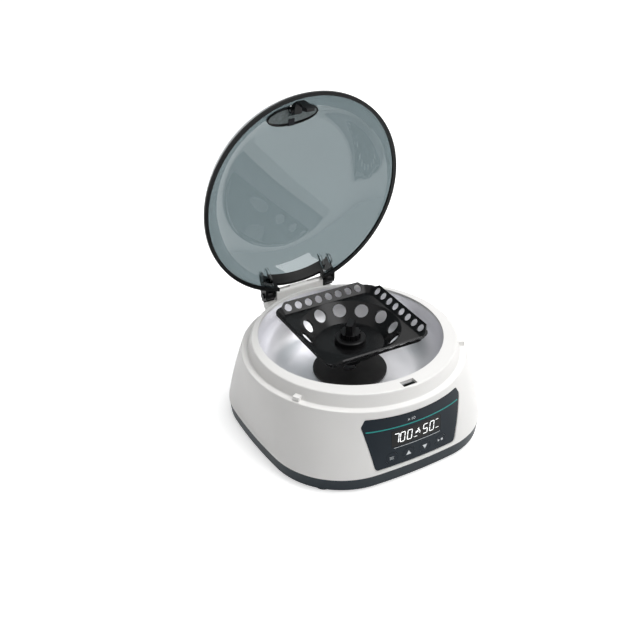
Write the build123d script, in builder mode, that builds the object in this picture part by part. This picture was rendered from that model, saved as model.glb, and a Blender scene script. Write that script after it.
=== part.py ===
"""A high-speed bench centrifuge with a smoked lid, standing open.

Millimetres. +X is the operator's right, the control panel faces -Y, +Z is up and the feet stand on z = 0.
"""
import os
from math import asin, atan2, cos, hypot, radians, sin, sqrt

from build123d import *

os.makedirs("parts", exist_ok=True)

# Levels above the floor, from the base up past the control panel to the ledge and the ring
base_bottom_z = 2.3        # underside of the base, over the feet
base_wall = 2.4
base_floor = 2.2
seam_z = 12.2              # where the white housing meets the dark base
waist_z = 38.0
panel_bottom_z = seam_z + 3.7
key_z = panel_bottom_z + 7.1
display_height = 13.3
display_bottom_z = key_z + 9.2
display_top_z = display_bottom_z + display_height
panel_top_z = display_top_z + 12.0
ledge_z = panel_top_z + 6.3
ledge_drop = 9.7           # from the ring's top down to the ledge outside it
ring_top_z = ledge_z + ledge_drop

# Plan of the case: a rounded square at the seam that turns into a circle at the ledge
seam_half = 89.3           # centre to the middle of a side, at the seam
seam_corner = 10.9         # a corner reaches this much further out than a side
seam_bow = 400.0           # radius of the bowed sides, at the seam
waist_draw = 1.3           # how far the waist draws in from the seam
waist_corner = 6.4
waist_bow = 187.0
ledge_draw = 2.7           # how far the ledge draws in from the seam
base_inset = 1.2           # how far the base draws in towards the floor
housing_wall = 2.5
deck_wall = 2.2            # thickness of the ledge and of the ring's top
seam_diagonal = seam_half + seam_corner
waist_half = seam_half - waist_draw
waist_diagonal = waist_half + waist_corner
ledge_radius = seam_half - ledge_draw
widest_half = max(seam_half, waist_half)

# Raised ring, chamber opening and bowl
ledge_width = 5.0
ring_draft = 3.0
ring_edge_round = 1.4
ring_foot_round = 0.9
ledge_round = 1.0
rotor_setback = 4.7        # the rotor's axis is this far behind the case's centre
ring_back_width = 2.55     # of the ring's flat top behind the chamber
bowl_overlap = 0.6         # how far the ring's lip covers the bowl's mouth
bowl_wall = 1.2
bowl_draft = 1.2
bowl_corner = 24.0
chamber_depth = 34.0       # from the ring's top to the bowl's floor
bowl_gap = 0.4             # between the bowl and the housing round it
lug_length = 9.35
lug_width = 8.0
lug_thickness = 2.0
lug_drop = 9.8             # of the lugs below the ledge
lug_boss_radius = 3.6
lug_angles = [45, 135, 225, 315]
pad_radius = 29.1          # black rubber pad on the bowl's floor
pad_thickness = 1.5
ring_foot_radius = ledge_radius - ledge_width
ring_edge_radius = ring_foot_radius - ring_draft
opening_radius = ring_edge_radius - rotor_setback - ring_back_width
bowl_mouth = opening_radius + bowl_overlap
bowl_top_z = ring_top_z - deck_wall
bowl_floor_z = ring_top_z - chamber_depth
lug_reach = bowl_mouth + bowl_wall + lug_length
lug_boss_r = lug_reach - lug_boss_radius
lug_z = ledge_z - lug_drop

# Lid
rest_block_height = 3.4    # the lid comes down on two blocks on the ledge
rest_block_size = 5.0
rest_block_angle = 29.2    # below the X axis, on both sides
rest_block_inset = 1.0     # of a block's middle inside the rim's middle
rest_gap = 0.05
rim_clearance = 0.4        # round the ring's foot
rim_width = 3.0
rim_height = 2.0
dome_wall = 2.0
dome_corner = 40.0
dome_lean = 20.0           # the skirt leans in by this angle from upright
dome_crown = 380.0         # radius of the nearly flat top
open_angle = 85.6
hinge_overhang = 0.2       # of the hinge axis behind the ledge's edge
hinge_drop = 0.64          # of the hinge axis below the ring's top
rim_inner_radius = ring_foot_radius + rim_clearance
rim_outer_radius = rim_inner_radius + rim_width
hinge_back = ledge_radius + hinge_overhang
hinge_z = ring_top_z - hinge_drop

# Hinge
barrel_radius = 3.2
barrel_gap = 1.8           # between the housing's barrel and a knuckle
shoe_drop = 5.86           # of the shoe's top below the hinge axis
shoe_inset = 2.5           # of the shoe short of the arms' outer sides
shoe_behind = 5.6          # of the shoe behind the hinge axis
shoe_ahead = 3.2
shoe_lip = 6.0
shoe_height = 17.0
knuckle_radius = 4.2
arm_inner = 23.5
arm_width = 9.0
arm_rib = 2.0
arm_rise = 15.0
hinge_pin_radius = 1.25
hinge_pin_inner = 8.0
channel_width = 2.6
channel_end = 1.5
running_gap = 0.05
stop_gap = 0.15
heel_front = 1.0
heel_back = 3.2
skirt_cut = 2.0            # the skirt is cut flat between the arms, this far in from the rim
band_height = 13.0
notch_half = 20.5          # the skirt is open here between the arms, over the barrel
notch_height = 6.3
band_reach = 15.0          # of the black band in from the rim
skirt_gap = 0.3            # between the flat skirt and the arms beside it
arm_reach = 13.0
arm_slope = 20.0
hinge_head_radius = 2.4
hinge_head = 1.2
rib_depth = 3.0            # of the ribs inside the dome
rib_reach = 17.0
rib_bottom = 6.5
rib_top = 19.0
arm_outer = arm_inner + arm_width
shoe_top_z = hinge_z - shoe_drop
shoe_foot_z = shoe_top_z - shoe_height
shoe_half_width = arm_outer - shoe_inset
shoe_back = hinge_back + shoe_behind
shoe_front = hinge_back - shoe_ahead
barrel_half_length = arm_inner - barrel_gap
arm_front = rim_outer_radius - arm_reach
band_front = rim_outer_radius - band_reach
skirt_flat = rim_outer_radius - skirt_cut
rib_front = rim_outer_radius - rib_reach

# Latch, placed from the slot in the ring's front
slot_setback = 4.7         # of the slot's centre from the ring's edge
slot_width = 11.5
slot_length = 6.2
strike_thickness = 1.0
strike_lip = 1.1
strike_width = 26.0
strike_depth = 6.8
strike_screw_x = 9.5
strike_screw_back = 1.6    # of the screws behind the slot's centre
strike_screw_bite = 1.7
strike_margin = 1.7        # of the strike plate behind the slot
scoop_back = 13.9          # of the finger pad's centre behind the slot's
scoop_half_width = 21.0
scoop_half_length = 8.5
collar_wall = 1.0
collar_depth = 5.0
collar_proud = 0.25
pad_sink = 1.4
finger_pad_thickness = 2.0
finger_pad_gap = 1.1
finger_pad_side_gap = 0.3
lever_half_width = 3.25
lever_pin_back = 7.9
lever_pin_sink = 7.24      # of the pin below the dome's outer face
lever_pin_radius = 1.0
lever_boss_radius = 2.6
lever_travel = 5.0
arm_depths = (2.85, 3.34, 3.7, 4.1)    # of the arm's upper edge below the dome
arm_backs = (16.9, 8.9, 6.4, 2.9)      # of the same points behind the slot's centre
arm_root = 4.0             # of the arm's lower edge behind the pin
arm_root_drop = 0.5
arm_front_drop = 3.3
hook_back = 0.9            # of the hook's upright edge behind the slot's centre
hook_front = 1.1
hook_nose = 1.9            # of the nose past the upright edge
hook_gap = 0.35            # between the hook and the strike plate
hook_nose_flat = 1.5
hook_height = 7.2
hook_toe = 0.4
hook_neck = 8.3            # from the hook's catch up to its arm
ear_thickness = 2.0
ear_gap = 0.4
ear_radius = 2.4
ear_shoulder = 0.6
ear_shoulder_sink = 4.76
ear_lean = 1.7
ear_lean_sink = 3.19
arm_window = 2.6           # of the collar's front wall left over the lever's arm
leaf_half_width = 2.6
leaf_thickness = 0.4
leaf_tip = 3.9
leaf_tip_depth = 3.85
slot_forward = ring_edge_radius - slot_setback
strike_screw_forward = slot_forward - strike_screw_back
scoop_forward = slot_forward - scoop_back
lever_pin_forward = slot_forward - lever_pin_back

# Rotor: a square tray with a conical dish, four flaps for strips and twelve tube holes
tray_corner = 6.0
tray_rise = 4.3            # of the tray's top above the ring
tray_thickness = 2.4
dish_sink = 8.6            # of the dish's floor below the ring's top
dish_wall = 1.6
tube_count = 12
tube_radius = 5.5
tube_inset = 5.35          # of the tube holes' circle inside the dish's edge
strip_count = 8
strip_pitch = 9.0          # the standard pitch of 0.2 ml tube strips
strip_margin = 3.0
strip_hole_radius = 3.15
flap_height = 10.0
flap_chamfer = 5.5
flap_thickness = 1.2
flap_step = 0.3            # from the dish's edge to the foot of a flap
corner_rise = 4.2          # of the rounded corners between the flaps
rotor_turn = -1.7          # the rotor has come to rest this far round
hub_radius = 9.0
hub_length = 16.9
tray_top_z = ring_top_z + tray_rise
dish_floor_z = ring_top_z - dish_sink
hub_bottom_z = dish_floor_z - hub_length
flap_half_width = strip_count * strip_pitch / 2 + strip_margin
dish_radius = flap_half_width
rim_foot_half = dish_radius + flap_step
rim_spread = flap_thickness * sqrt(2)    # of a flap's wall, measured level
tray_half = rim_foot_half + rim_spread
tube_pitch_radius = dish_radius - tube_inset

# Knob on the rotor
knob_flange_radius = 12.0
knob_flange_height = 4.3
knob_grip_radius = 8.2
knob_grip_height = 4.3
knob_flutes = 12
knob_flute_radius = 0.9
knob_wing_length = 13.0
knob_wing_width = 6.0
knob_wing_height = 8.0
knob_wing_taper = 4.0
knob_turn = 47.0           # of the wing's length from the rotor's side
knob_roof = 1.5
knob_chamfer = 0.7

# Drive
shaft_radius = 4.0
shaft_tip_radius = 2.5
shaft_shoulder = 12.0      # of the shaft's shoulder above the hub's foot
bearing_radius = 9.5
bearing_width = 6.0
fit_gap = 0.03
motor_radius = 24.0
motor_wall = 1.6
motor_lift = 3.5           # of the motor above the base's floor
motor_flange_width = 5.0
motor_flange = 2.0
motor_end = 1.0            # of the can under the lower bearing
motor_boss_gap = 0.8       # under the bowl
bearing_groove = 0.5
bearing_race = 1.5
stator_yoke = 2.4
stator_teeth = 9
stator_gap = 0.6           # between the magnet and the stator's teeth
stator_room = 0.5          # between the coils and the can's ends
tooth_width = 2.4
coil_width = 5.6
coil_gap = 0.7
coil_end = 2.0             # of the windings past the core
magnet_radius = 13.0
magnet_chamfer = 0.8
shaft_chamfer = 0.5
shaft_hole_gap = 1.0
plate_thickness = 2.0
plate_margin = 10.0        # of the steel plate past its mounts
mount_clearance = 19.08    # from the motor's flange to a mount's middle
mount_radius = 6.0
mount_height = 6.0
mount_groove = 2.0
stud_bite = 4.0
stud_end = 1.0
nut_radius = 3.2
nut_height = 2.4
motor_boss_wall = 2.5
floor_top_z = base_bottom_z + base_floor
motor_bottom_z = floor_top_z + motor_lift
motor_boss_top = bowl_floor_z - bowl_wall - motor_boss_gap
plate_z = motor_boss_top - bearing_width + motor_end / 2 - plate_thickness
motor_flange_radius = motor_radius + motor_flange_width
motor_boss_radius = bearing_radius + motor_boss_wall
mount_offset = (motor_flange_radius + mount_clearance) / sqrt(2)
plate_half = mount_offset + plate_margin
stator_inner = magnet_radius + stator_gap
shaft_shoulder_z = hub_bottom_z + shaft_shoulder

# Control panel on the front
film_thickness = 0.5
film_sink = 0.1
film_border = 0.8
panel_top_half = 43.7
panel_bottom_half = 34.5
panel_corner = 3.0
display_half_width = 21.3
display_lens = 1.0
window_gap = 0.15
window_ledge = 1.0
key_pitch = 14.3
key_count = 4
key_radius = 4.6
key_gap = 0.2
key_travel = 0.5
key_lip = 1.0
key_flange = 0.8
key_seat = 4.0             # of a key's flange behind the waist's face
key_slack = 0.1
board_setback = 9.4        # of the control board behind the waist's face
board_thickness = 1.6
board_edge = 3.5
board_drop = 0.9           # of the board's lower edge below the film's
board_post_radius = 3.0
board_post_gap = 1.5       # between a post and the display module
board_screw_rise = 0.8     # of the low screws above the display's lower edge
board_screw_high_x = 15.0
board_screw_high_rise = 5.5
board_screw_bite = 4.5
display_module_depth = 4.4
module_edge = 1.2
module_margin = 1.85
switch_body = 6.2
switch_height = 2.4
switch_button = 1.6
switch_button_height = 0.7
board_front = waist_half - board_setback   # front face of the control board, ahead of the case's centre
key_flange_back = waist_half - key_seat
key_flange_radius = key_radius + key_lip
module_half_width = display_half_width + module_edge
board_screw_low_x = module_half_width + board_post_radius + board_post_gap
board_screw_low_z = display_bottom_z + board_screw_rise
board_screw_high_z = display_top_z + board_screw_high_rise
board_half_width = board_screw_low_x + board_edge
board_bottom_z = panel_bottom_z - board_drop
board_top_z = board_screw_high_z + board_post_radius

# Motor's board, on posts on the base's floor
capacitor_radius = 5.0
capacitor_height = 16.0
capacitor_pitch = 14.0
chip_width = 9.0
chip_length = 12.0
chip_height = 3.0
drive_board_lift = 5.5
drive_board_back = 33.3    # of the board's middle behind the case's front
drive_board_half_x = 28.0
drive_board_half_y = 16.0
drive_screw_inset = 4.0
drive_post_radius = 3.0
drive_board_z = floor_top_z + drive_board_lift
drive_board_forward = seam_half - drive_board_back
drive_screw_x = drive_board_half_x - drive_screw_inset
drive_screw_y = drive_board_half_y - drive_screw_inset

# Power inlet and switch on the back
recess_half_width = 36.0
recess_rise = 3.8          # of the recess above the seam
recess_height = 17.0
recess_depth = 0.7
recess_wall = 2.0
power_x = 16.0
rocker_half_width = 7.9
rocker_half_height = 4.5
rocker_tilt = 8.0
bezel_edge = 2.6
bezel_edge_z = 2.5
bezel_lip = 1.0
bezel_thickness = 1.5
switch_depth = 16.0
jack_radius = 4.5
jack_bore = 3.0
jack_nut_edge = 1.5
jack_nut = 2.2
jack_depth = 10.0
jack_pin_radius = 1.05
jack_pin_sink = 4.5
jack_proud = 0.4
rocker_pivot_in = 2.3      # of the rocker's axle behind the recess face
rocker_clearance = 0.9
rocker_gap = 0.2
rocker_hub_radius = 2.6
rocker_axle_radius = 1.0
rocker_rise = 4.9
rocker_valley = 1.2
recess_low_z = seam_z + recess_rise
recess_high_z = recess_low_z + recess_height
recess_face = min(seam_half, waist_half) - recess_depth    # the flat face, behind the case's centre
power_z = (recess_low_z + recess_high_z) / 2
rocker_room = rocker_half_height + rocker_clearance
bezel_half_width = rocker_half_width + bezel_edge
bezel_half_height = rocker_half_height + bezel_edge_z
bezel_hole_x = bezel_half_width - bezel_lip
bezel_hole_z = bezel_half_height - bezel_lip
jack_nut_radius = jack_radius + jack_nut_edge

# Fasteners, posts and feet
screw_radius = 1.5
screw_head_radius = 2.8
screw_head = 1.8
small_screw_radius = 1.0
small_head_radius = 1.8
small_head = 1.2
small_screw_bite = 4.0
screw_clearance = 0.2      # round a screw where it passes through
head_clearance = 0.3
pilot_spare = 0.5          # of a pilot hole past its screw's end
base_screw_sink = 1.5
base_screw_bite = 7.9      # of the base's screws into the housing
lug_screw_bite = 4.5
post_across = 40.0
post_inset = 13.3          # of a post's middle inside the seam
post_radius = 4.5
thread_gap = 0.04
foot_inset = 25.3
foot_radius = 7.5
foot_sink = 1.0
foot_dimple_radius = 2.5
foot_dimple = 0.8
foot_chamfer = 0.6
vent_width = 2.6
vent_length = 26.0
vent_pitch = 5.6
vent_count = 7
post_forward = seam_half - post_inset
foot_offset = seam_half - foot_inset
base_screw_length = seam_z - base_bottom_z - base_screw_sink - screw_head + base_screw_bite


# The lid's dome in section: a corner arc that leans in at the skirt and a wide crown tangent to it
corner_r = rim_outer_radius - dome_corner * cos(radians(dome_lean))
corner_h = rim_height - dome_corner * sin(radians(dome_lean))
crown_h = corner_h - sqrt((dome_crown - dome_corner) ** 2 - corner_r ** 2)

# Where the closed lid and its hinge are, from the case's centre
lid_closed_z = ledge_z + rest_block_height + rest_gap
hinge_h = hinge_z - lid_closed_z
swing = radians(open_angle)
lid_back = hinge_back - hinge_back * cos(swing) - hinge_h * sin(swing)
lid_open_z = hinge_z + hinge_back * sin(swing) - hinge_h * cos(swing)

# The origin is in the middle of the whole object from front to back
front_most = -widest_half
back_most = lid_back + crown_h * sin(swing) + dome_crown
case_y = -(front_most + back_most) / 2
rotor_y = case_y + rotor_setback

case_plane = Plane(origin=(0, case_y, 0))
rotor_plane = Plane(origin=(0, rotor_y, 0), x_dir=(cos(radians(rotor_turn)), sin(radians(rotor_turn)), 0))
lid_plane = Plane(origin=(0, case_y + lid_back, lid_open_z), x_dir=(1, 0, 0),
                  z_dir=(0, sin(swing), cos(swing)))
hinge_plane = Plane(origin=(0, case_y + hinge_back, hinge_z))
up = (0, 0, 1)


def across(plane, x):
    """A plane that stands across another at x: its sketch x runs back and its sketch y runs up."""
    return Plane(origin=plane.from_local_coords((x, 0, 0)), x_dir=plane.y_dir, z_dir=plane.x_dir)


def facing_front(back, z=0.0):
    """An upright plane that faces front, this far behind the case's centre: sketch x right, y up."""
    return Plane(origin=(0, case_y + back, z), x_dir=(1, 0, 0), z_dir=(0, -1, 0))


def save(piece, name):
    piece.part.label = name
    export_step(piece.part, f"parts/{name}.step")


def side_joint(half, diagonal, bow):
    """The point where the front side's arc runs into the corner arc on its right."""
    rise = bow - half
    spare = bow - diagonal
    centre = (spare ** 2 - rise ** 2) / (2 * rise - 2 * sqrt(2) * spare)
    reach = hypot(centre, rise + centre)
    return bow * centre / reach, rise - bow * (rise + centre) / reach


def eight_arcs(half, diagonal, joint):
    """Four bowed sides and four corners, all tangent, drawn in the current line builder."""
    jx, jy = joint
    corner = diagonal / sqrt(2)
    for turn in range(4):
        c, s = cos(radians(90 * turn)), sin(radians(90 * turn))
        points = [(x * c - y * s, x * s + y * c)
                  for x, y in ((-jx, jy), (0, -half), (jx, jy), (corner, -corner), (-jy, -jx))]
        ThreePointArc(*points[0:3])
        ThreePointArc(*points[2:5])


def square_face(z, half, diagonal, bow):
    """A rounded square at one level of the case."""
    with BuildSketch(case_plane.offset(z)) as face:
        with BuildLine():
            eight_arcs(half, diagonal, side_joint(half, diagonal, bow))
        make_face()
    return face.sketch


def round_face(z, radius):
    """A circle in the same eight arcs, so that a rounded square blends into it."""
    with BuildSketch(case_plane.offset(z)) as face:
        with BuildLine():
            eight_arcs(radius, radius, (radius * sin(radians(22.5)), -radius * cos(radians(22.5))))
        make_face()
    return face.sketch


def case_form(inset, top_z=ledge_z):
    """The white case as a solid, drawn in from its outer face by an inset."""
    faces = [square_face(seam_z, seam_half - inset, seam_diagonal - inset, seam_bow - inset),
             square_face(waist_z, waist_half - inset, waist_diagonal - inset, waist_bow - inset),
             round_face(top_z, ledge_radius - inset)]
    with BuildPart() as form:
        loft(faces)
    return form.part


def block(low, high, mode=Mode.ADD, plane=case_plane):
    """A box between two corners, given in a plane's own directions."""
    size = [b - a for a, b in zip(low, high)]
    with Locations(plane.location * Location(low)):
        Box(*size, align=(Align.MIN, Align.MIN, Align.MIN), mode=mode)


def dome_solid(outwards, low=rim_height):
    """The dome as a full solid of revolution, grown outwards by an amount, from a height up."""
    corner = dome_corner + outwards
    crown = dome_crown + outwards
    start = asin((low - corner_h) / corner)
    meet = atan2(corner_h - crown_h, corner_r)
    middle = (start + meet) / 2
    begin = (corner_r + corner * cos(start), low)
    bend = (corner_r + corner * cos(middle), corner_h + corner * sin(middle))
    join = (crown * cos(meet), crown_h + crown * sin(meet))
    top_turn = (meet + radians(90)) / 2
    with BuildPart() as dome:
        with BuildSketch(Plane(origin=lid_plane.origin, x_dir=lid_plane.x_dir, z_dir=-lid_plane.y_dir)):
            with BuildLine():
                Line((0, low), begin)
                ThreePointArc(begin, bend, join)
                ThreePointArc(join, (crown * cos(top_turn), crown_h + crown * sin(top_turn)),
                              (0, crown_h + crown))
                Line((0, crown_h + crown), (0, low))
            make_face()
        revolve(axis=Axis(lid_plane.origin, lid_plane.z_dir))
    return dome.part


def panel_outline(grow):
    """The control panel's outline on an upright plane: wider at its top, with rounded corners."""
    top, bottom = panel_top_z + grow, panel_bottom_z - grow
    outline = Polygon((-panel_top_half - grow, top), (panel_top_half + grow, top),
                      (panel_bottom_half + grow, bottom), (-panel_bottom_half - grow, bottom), align=None)
    fillet(outline.vertices(), panel_corner)


key_places = [((i - (key_count - 1) / 2) * key_pitch, key_z) for i in range(key_count)]
post_places = [(sx * post_across, sy * post_forward) for sx in (-1, 1) for sy in (-1, 1)]
foot_places = [(sx * foot_offset, sy * foot_offset) for sx in (-1, 1) for sy in (-1, 1)]
mount_places = [(sx * mount_offset, rotor_setback + sy * mount_offset) for sx in (-1, 1) for sy in (-1, 1)]
board_screw_places = [(sx * x, z) for sx in (-1, 1)
                      for x, z in ((board_screw_low_x, board_screw_low_z),
                                   (board_screw_high_x, board_screw_high_z))]
display_mid_z = (display_top_z + display_bottom_z) / 2
strike_screw_places = [(sx * strike_screw_x, -strike_screw_forward) for sx in (-1, 1)]
case_reach = max(widest_half, ledge_radius) + 1    # clear of the case from any side

# Upper housing: the white case with its ledge, raised ring, hinge shoe and rest blocks
with BuildPart() as cavity:
    add(case_form(housing_wall, ledge_z - deck_wall))
    with BuildSketch(case_plane.offset(ledge_z - deck_wall)):
        Circle(ring_foot_radius - housing_wall)
    with BuildSketch(case_plane.offset(bowl_top_z)):
        Circle(ring_edge_radius - housing_wall)
    loft()
    with BuildSketch(Plane(origin=(0, rotor_y, waist_z))):
        Circle(bowl_mouth + bowl_wall + bowl_gap)
    extrude(amount=bowl_top_z - waist_z)
    # posts for the base screws, bosses for the bowl's lugs and for the strike plate, standoffs for the board
    with BuildSketch(case_plane.offset(seam_z)):
        with Locations(*post_places):
            Circle(post_radius)
    extrude(amount=ledge_z - deck_wall - seam_z, mode=Mode.SUBTRACT)
    with BuildSketch(Plane(origin=(0, rotor_y, lug_z + lug_thickness))):
        with PolarLocations(lug_boss_r, len(lug_angles), start_angle=lug_angles[0]):
            Circle(lug_boss_radius)
    extrude(amount=ledge_z - lug_z - lug_thickness, mode=Mode.SUBTRACT)
    with BuildSketch(facing_front(-board_front)):
        with Locations(*board_screw_places):
            Circle(board_post_radius)
    extrude(amount=case_reach - board_front, mode=Mode.SUBTRACT)
    block((-recess_half_width - recess_wall, recess_face - housing_wall, recess_low_z - recess_wall),
          (recess_half_width + recess_wall, case_reach, recess_high_z + recess_wall), Mode.SUBTRACT)

with BuildPart() as upper_housing:
    add(case_form(0))
    fillet(upper_housing.edges().group_by(Axis.Z)[-1], ledge_round)
    with BuildSketch(case_plane.offset(ledge_z)):
        Circle(ring_foot_radius)
    with BuildSketch(case_plane.offset(ring_top_z)):
        Circle(ring_edge_radius)
    loft()
    top_edge = upper_housing.edges().filter_by(GeomType.CIRCLE).group_by(Axis.Z)[-1]
    fillet(top_edge, ring_edge_round)
    foot_edges = [edge for edge in upper_housing.edges().filter_by(GeomType.CIRCLE)
                  if abs(edge.radius - ring_foot_radius) < fit_gap
                   and abs(edge.center().Z - ledge_z) < fit_gap]
    fillet(foot_edges, ring_foot_round)
    # the shoe at the back that carries the hinge
    shoe_side = across(case_plane, -shoe_half_width)
    with BuildSketch(shoe_side):
        Polygon((shoe_front, shoe_top_z), (shoe_back, shoe_top_z), (shoe_back, shoe_top_z - shoe_lip),
                (shoe_front, shoe_foot_z), align=None)
    extrude(amount=2 * shoe_half_width)
    with BuildSketch(across(case_plane, -barrel_half_length)):
        with Locations((hinge_back, hinge_z)):
            Circle(barrel_radius)
        with Locations((hinge_back, shoe_top_z)):
            Rectangle(2 * barrel_radius, hinge_z - shoe_top_z, align=(Align.CENTER, Align.MIN))
    extrude(amount=2 * barrel_half_length)
    # two blocks on the ledge that the lid comes down on
    for side in (-1, 1):
        angle = -90 + side * (90 - rest_block_angle)
        middle = (rim_inner_radius + rim_outer_radius) / 2 - rest_block_inset
        with BuildSketch(case_plane.offset(ledge_z - deck_wall / 2)):
            with Locations(Location((middle * cos(radians(angle)), middle * sin(radians(angle)), 0), angle)):
                Rectangle(rest_block_size, rest_block_size)
        extrude(amount=deck_wall / 2 + rest_block_height)
    add(cavity.part, mode=Mode.SUBTRACT)
    with BuildSketch(Plane(origin=(0, rotor_y, bowl_top_z))):
        Circle(opening_radius)
    extrude(amount=2 * deck_wall, mode=Mode.SUBTRACT)
    # hinge pin bores and the open channels over them
    for side in (-1, 1):
        with BuildSketch(across(case_plane, side * hinge_pin_inner)):
            with Locations((hinge_back, hinge_z)):
                Circle(hinge_pin_radius + running_gap)
        extrude(amount=side * (barrel_half_length - hinge_pin_inner), mode=Mode.SUBTRACT)
        low = min(side * hinge_pin_inner, side * (barrel_half_length - channel_end))
        block((low, hinge_back - channel_width / 2, hinge_z),
              (low + barrel_half_length - channel_end - hinge_pin_inner, hinge_back + channel_width / 2,
               hinge_z + barrel_radius), Mode.SUBTRACT)
    # latch slot in the ring's top
    block((-slot_width / 2, -slot_forward - slot_length / 2, ledge_z),
          (slot_width / 2, -slot_forward + slot_length / 2, ring_top_z), Mode.SUBTRACT)
    # pilot holes for the screws
    with BuildSketch(case_plane.offset(seam_z)):
        with Locations(*post_places):
            Circle(screw_radius + thread_gap)
    extrude(amount=base_screw_bite + pilot_spare, mode=Mode.SUBTRACT)
    with BuildSketch(Plane(origin=(0, rotor_y, lug_z + lug_thickness))):
        with PolarLocations(lug_boss_r, len(lug_angles), start_angle=lug_angles[0]):
            Circle(screw_radius + thread_gap)
    extrude(amount=lug_screw_bite + pilot_spare, mode=Mode.SUBTRACT)
    with BuildSketch(facing_front(-board_front)):
        with Locations(*board_screw_places):
            Circle(screw_radius + thread_gap)
    extrude(amount=board_screw_bite + pilot_spare, mode=Mode.SUBTRACT)
    with BuildSketch(case_plane.offset(bowl_top_z)):
        with Locations(*strike_screw_places):
            Circle(small_screw_radius + thread_gap)
    extrude(amount=strike_screw_bite, mode=Mode.SUBTRACT)
    # display window, key holes and the shallow recess for the panel film
    with BuildSketch(facing_front(-board_front)):
        with Locations((0, display_mid_z)):
            Rectangle(2 * (display_half_width - window_ledge), display_height - 2 * window_ledge)
        with Locations(*key_places):
            Circle(key_radius + key_gap)
    extrude(amount=case_reach - board_front, mode=Mode.SUBTRACT)
    with BuildPart(mode=Mode.PRIVATE) as film_space:
        with BuildSketch(facing_front(-board_front)):
            panel_outline(film_border)
        extrude(amount=case_reach - board_front)
        add(case_form(film_thickness + film_sink), mode=Mode.SUBTRACT)
    add(film_space.part, mode=Mode.SUBTRACT)
    with BuildPart(mode=Mode.PRIVATE) as lens_space:
        with BuildSketch(facing_front(-board_front)):
            with Locations((0, display_mid_z)):
                Rectangle(2 * (display_half_width + window_gap), display_height + 2 * window_gap)
        extrude(amount=case_reach - board_front)
        add(case_form(display_lens + film_sink), mode=Mode.SUBTRACT)
    add(lens_space.part, mode=Mode.SUBTRACT)
    # flat recess on the back with the holes for the switch and the inlet
    block((-recess_half_width, recess_face, recess_low_z),
          (recess_half_width, case_reach, recess_high_z), Mode.SUBTRACT)
    block((-power_x - bezel_hole_x, recess_face - 2 * housing_wall, power_z - bezel_hole_z),
          (-power_x + bezel_hole_x, recess_face, power_z + bezel_hole_z), Mode.SUBTRACT)
    with BuildSketch(facing_front(recess_face)):
        with Locations((power_x, power_z)):
            Circle(jack_radius + fit_gap)
    extrude(amount=2 * housing_wall, mode=Mode.SUBTRACT)
save(upper_housing, "upper_housing")

# Base: the dark pan that closes the case from below
with BuildPart() as base_pan:
    loft([square_face(base_bottom_z, seam_half - base_inset,
                      seam_diagonal - base_inset, seam_bow - base_inset),
          square_face(seam_z, seam_half, seam_diagonal, seam_bow)])
    pan_inset = base_inset + base_wall
    extrude(square_face(floor_top_z, seam_half - pan_inset,
                        seam_diagonal - pan_inset, seam_bow - pan_inset),
            amount=seam_z, mode=Mode.SUBTRACT)
    with BuildSketch(case_plane.offset(floor_top_z)):
        with Locations(*post_places):
            Circle(post_radius)
    extrude(amount=seam_z - floor_top_z)
    with BuildSketch(case_plane.offset(floor_top_z)):
        with Locations(*mount_places):
            Circle(mount_radius)
    extrude(amount=plate_z - mount_height - floor_top_z)
    with BuildSketch(case_plane.offset(floor_top_z)):
        with Locations((0, -drive_board_forward)):
            with GridLocations(2 * drive_screw_x, 2 * drive_screw_y, 2, 2):
                Circle(drive_post_radius)
    extrude(amount=drive_board_z - floor_top_z)
    with BuildSketch(case_plane.offset(base_bottom_z)):
        with Locations(*post_places):
            Circle(screw_radius + screw_clearance)
        with Locations(*foot_places):
            Circle(small_screw_radius + thread_gap)
    extrude(amount=seam_z, mode=Mode.SUBTRACT)
    with BuildSketch(case_plane.offset(base_bottom_z)):
        with Locations(*post_places):
            Circle(screw_head_radius + head_clearance)
    extrude(amount=base_screw_sink + screw_head, mode=Mode.SUBTRACT)
    with BuildSketch(case_plane.offset(base_bottom_z)):
        with Locations(*foot_places):
            Circle(foot_radius + fit_gap)
    extrude(amount=foot_sink, mode=Mode.SUBTRACT)
    with BuildSketch(case_plane.offset(drive_board_z)):
        with Locations((0, -drive_board_forward)):
            with GridLocations(2 * drive_screw_x, 2 * drive_screw_y, 2, 2):
                Circle(small_screw_radius + thread_gap)
    extrude(amount=-small_screw_bite, mode=Mode.SUBTRACT)
    with BuildSketch(case_plane.offset(base_bottom_z)):
        for side in (-1, 1):
            with Locations((side * mount_offset, rotor_setback)):
                with GridLocations(vent_pitch, 0, vent_count, 1):
                    SlotOverall(vent_length, vent_width, rotation=90)
    extrude(amount=base_floor, mode=Mode.SUBTRACT)
save(base_pan, "base_pan")

with BuildPart() as rubber_feet:
    with BuildSketch(case_plane):
        with Locations(*foot_places):
            Circle(foot_radius)
    extrude(amount=base_bottom_z + foot_sink)
    chamfer(rubber_feet.edges().filter_by(GeomType.CIRCLE).group_by(Axis.Z)[0], foot_chamfer)
    with BuildSketch(case_plane):
        with Locations(*foot_places):
            Circle(foot_dimple_radius)
    extrude(amount=foot_dimple, mode=Mode.SUBTRACT)
save(rubber_feet, "rubber_feet")


def screws(places, plane, length, radius=screw_radius, head_radius=screw_head_radius, head=screw_head):
    """Pan head screws: the heads lie on the low side of a plane and the shanks rise from it."""
    with BuildPart() as result:
        with BuildSketch(plane):
            with Locations(*places):
                Circle(radius)
        extrude(amount=length)
        with BuildSketch(plane):
            with Locations(*places):
                Circle(head_radius)
        extrude(amount=-head)
    return result.part


with BuildPart() as base_screws:
    add(screws(post_places, case_plane.offset(base_bottom_z + base_screw_sink + screw_head),
               base_screw_length))
save(base_screws, "base_screws")

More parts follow.
